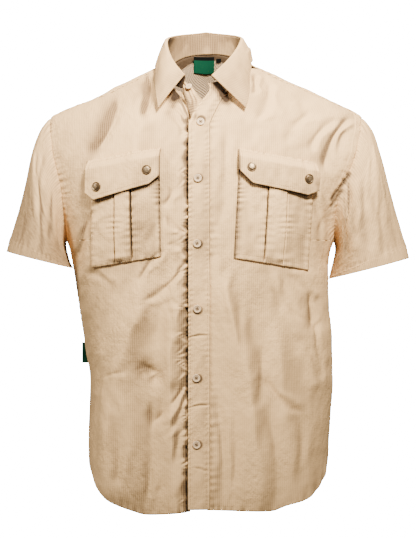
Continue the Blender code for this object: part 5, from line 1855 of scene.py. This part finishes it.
STRAIGHT = np.linspace(-0.735, STRAIGHT_TOP, 200)
CURL = np.linspace(STRAIGHT_TOP, -0.05, 40)
sewn = [sew("placket_stitches", placket, [
    beside_placket(STRAIGHT, 0.005), beside_placket(STRAIGHT, PLACKET_WIDTH - 0.0045),
    beside_placket(CURL, 0.005)])]


def beside_armhole(side, behind, distance):
    """A line beside the armhole, on the body."""
    turn = np.linspace(20.0, 172.0, 160) if not behind else np.linspace(188.0, 312.0, 140)
    loop = armhole(side, turn)
    middle = np.array([side * 0.1, 0.0, ARMHOLE_MIDDLE])
    facing = outward(loop)
    along = unit(np.gradient(loop, axis=0))
    inward = unit(np.cross(along, facing))
    inward *= np.sign(np.sum(inward * (middle - loop), axis=-1))[:, None]
    return loop + inward * distance + facing * SEW_LIFT


def hem_line(side, first, last, rise):
    angle = np.linspace(first, last, 120)
    return lifted(form(side, angle, hem_height(side, angle) + rise), SEW_LIFT)


def side_line(side, y):
    z = np.linspace(-0.31, -0.64, 120)
    return lifted(form(side, angle_at_y(side, np.full(z.shape, y), z), z), SEW_LIFT)


for side, word in SIDES:
    sewn.append(sew(f"front_{word}_stitches", fronts[side], [
        beside_armhole(side, False, 0.0095), beside_armhole(side, False, 0.002),
        hem_line(side, 14.0 if side < 0 else 3.0, 88.0, 0.008),
        side_line(side, -0.006),
    ]))
    angle = np.linspace(181.0, 539.0, 240)
    plain, middle = sleeve_plain(side, angle, np.full(angle.shape, 1 - CUFF_BAND / SLEEVE_LENGTH))
    sewn.append(sew(f"sleeve_{word}_stitches", sleeves[side], [plain + unit(plain - middle) * 0.006]))
sewn.append(sew("back_stitches", back, [
    beside_armhole(RIGHT, True, 0.0095), beside_armhole(LEFT, True, 0.0095),
    hem_line(RIGHT, 92.0, 180.0, 0.008), hem_line(LEFT, 92.0, 180.0, 0.008),
    side_line(RIGHT, 0.006), side_line(LEFT, 0.006),
]))

# %% Sew the yoke, collar, pockets and flaps
edge_line = yoke_edge(400)
back_seam = edge_line[np.abs(edge_line[:, 2] - YOKE_BACK_Z) < 1e-4]
lines = [back_seam + np.array([0.0, 0.002, 0.0045])]
for side in (RIGHT, LEFT):
    inner_x = abs(neck_plan(side, neck_angle_at_y(side, YOKE_FRONT_Y))[0]) + 0.002
    x = side * np.linspace(inner_x, 0.225, 120)
    y = np.full(x.shape, YOKE_FRONT_Y + 0.0035)
    lines.append(np.stack([x, y, height_at(x, y) + 0.003], -1))
sewn.append(sew("yoke_stitches", yoke, lines))

leaf_grid = leaf_points[ROLL_ROWS - 1:]
INSET = 3
leaf_lines = [leaf_grid[-1 - INSET, INSET:-INSET], leaf_grid[INSET:-INSET, INSET],
              leaf_grid[INSET:-INSET, -1 - INSET]]
flat_lift = np.array([0.0, -0.004, 0.002])
sewn.append(sew("collar_stitches", collar_leaf, [line + flat_lift for line in leaf_lines]))
down, across = np.linspace(0.02, 0.985, 90), np.linspace(0.03, 0.97, 70)
pocket_rim = 0.003 / POCKET_WIDTH
pocket_rows = ((pocket_rim, down), (1 - pocket_rim, down),
               (across, 1 - 0.003 / POCKET_HEIGHT), (across, 1 - 0.0085 / POCKET_HEIGHT))
rim, low = 0.0055 / FLAP_WIDTH, 1 - 0.0055 / FLAP_DROP
flap_rows = ((rim, down * low), (1 - rim, down * low), (mix(rim, 1 - rim, across), low),
             (across, 0.055))
for side, word in SIDES:
    for kind, surface, cloth, rows in (("pocket", pocket_surface, pockets, pocket_rows),
                                       ("flap", flap_surface, flaps, flap_rows)):
        lines = [surface(side, *np.broadcast_arrays(*row), SEW_LIFT)[0] for row in rows]
        sewn.append(sew(f"{kind}_{word}_stitches", cloth[side], lines))
print("stitches:", sum(len(piece.data.polygons) // 12 for piece in sewn))

# %% [markdown]
# ## Give every piece its place
#
# The shirt is soft, but it moves as one body, so each piece rides on it. A shell stands for
# the plain solid under it, and the area that a maker would cut for it is printed beside the
# area it covers.

# %% Ride, replace and print the cut sizes
ROOT = "root"
CLOTH_PIECES = (
    # piece, node, flat width, flat length, area, how it is held, slot
    (fronts[RIGHT], "front_right", 0.32, 0.78, 0.185, "hung", "shirt_cloth"),
    (fronts[LEFT], "front_left", 0.32, 0.78, 0.18, "hung", "shirt_cloth"),
    (back, "back", 0.62, 0.66, 0.33, "hung", "shirt_cloth"),
    (yoke, "yoke", 0.6, 0.24, 0.085, "stretched", "shirt_cloth"),
    (yoke_net, "yoke_mesh", 0.5, 0.16, 0.04, "stretched", "mesh_lining"),
    (sleeves[RIGHT], "sleeve_right", 0.46, 0.24, 0.072, "hung", "shirt_cloth"),
    (sleeves[LEFT], "sleeve_left", 0.46, 0.24, 0.072, "hung", "shirt_cloth"),
    (collar_stand, "collar_stand", 0.43, 0.05, 0.018, "folded", "shirt_cloth"),
    (collar_leaf, "collar_leaf", 0.48, 0.09, 0.035, "folded", "shirt_cloth"),
    (stand_end, "collar_stand", 0.055, 0.024, None, "hung", "shirt_cloth"),
    (placket, "placket", 0.035, 0.7, None, "hung", "shirt_cloth"),
    (band, "button_band", 0.034, 0.7, None, "hung", "shirt_cloth"),
    (pockets[RIGHT], "pocket_right", 0.14, 0.17, 0.02, "hung", "shirt_cloth"),
    (pockets[LEFT], "pocket_left", 0.14, 0.17, 0.02, "hung", "shirt_cloth"),
    (flaps[RIGHT], "flap_right", 0.13, 0.065, 0.0068, "hung", "shirt_cloth"),
    (flaps[LEFT], "flap_left", 0.13, 0.065, 0.0068, "hung", "shirt_cloth"),
    (neck_label, "neck_label", 0.038, 0.026, None, "stretched", "green_label"),
    (side_tag, "side_tag", 0.014, 0.033, None, "folded", "green_label"),
)
for piece, node, width, length, area, held, slot in CLOTH_PIECES:
    measured = sum(face.area for face in piece.data.polygons) / 2
    print(f"{piece.name}: {measured:.4f} m2, cut {area or width * length:.4f} m2")
    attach(piece, ROOT)
    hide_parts(node)
    if not piece.data.materials:
        dress(piece, smooth_cloth if "collar" in node else shirt_cloth)
for piece, node, slot in small_parts:
    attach(piece, ROOT)
    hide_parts(node)
for piece in sewn + [button_threads]:
    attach(piece, ROOT)
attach(collar_button, ROOT)

# %% [markdown]
# ## Camera, light and floor
#
# The camera stands three metres in front of the shirt at mid height, as in the photograph.
# The main light hangs in front and above, a little to the right. A weaker one from the left
# draws the folds, and a wide one behind lights the edges. The floor is a pale disc, and what
# the camera sees beyond it is white.

# %% Camera
camera_data = bpy.data.cameras.new("camera")
camera_data.lens = 118.0
camera_data.sensor_width = 36.0
camera = new_object("camera", camera_data)
camera.location = (0.0017, -3.0, -0.3485)
camera.rotation_euler = (math.radians(90.0), 0.0, 0.0)
bpy.context.scene.camera = camera


# %% Lights
WARM = (1.0, 0.93, 0.79)


def soft_light(name, place, aim, size, power, spread=180.0):
    data = bpy.data.lights.new(name, "AREA")
    data.shape = "RECTANGLE"
    data.size = data.size_y = size
    data.energy = power
    data.color = WARM
    data.spread = math.radians(spread)
    lamp = new_object(name, data)
    lamp.location = place
    lamp.rotation_euler = (Vector(aim) - Vector(place)).to_track_quat("-Z", "Y").to_euler()
    lamp.visible_camera = False


soft_light("key", (0.45, -1.5, 1.0), (0.08, 0.0, 0.13), 0.4, 22.5, 58.0)
soft_light("side", (-1.5, -0.85, 0.75), (0.0, 0.0, 0.0), 0.4, 10.0, 80.0)
soft_light("rim", (0.6, 2.6, 1.8), (0.0, 0.0, -0.3), 1.6, 90.0)

# %% Sky and floor
world = bpy.data.worlds.new("studio")
bpy.context.scene.world = world
world.use_nodes = True
sky = world.node_tree
glow = sky.nodes["Background"]
glow.inputs["Color"].default_value = (1.0, 0.95, 0.88, 1.0)
glow.inputs["Strength"].default_value = 0.18
white = put(sky, "ShaderNodeBackground", Color=(1.0, 1.0, 1.0, 1.0), Strength=25.0)
seen = put(sky, "ShaderNodeLightPath")
either = put(sky, "ShaderNodeMixShader", Fac=seen.outputs["Is Camera Ray"])
sky.links.new(glow.outputs[0], either.inputs[1])
sky.links.new(white.outputs[0], either.inputs[2])
sky.links.new(either.outputs[0], sky.nodes["World Output"].inputs["Surface"])

FLOOR_Z = -1.35
bpy.ops.object.select_all(action="DESELECT")
bpy.ops.mesh.primitive_circle_add(vertices=96, radius=2.9, fill_type="NGON",
                                  location=(0.0, 0.0, FLOOR_Z))
floor = bpy.context.object
floor.name = "floor"
floor_finish, _, floor_shader = new_finish("pale floor", 0.9)
floor_shader.inputs["Base Color"].default_value = (0.9, 0.9, 0.9, 1.0)
dress(floor, floor_finish)
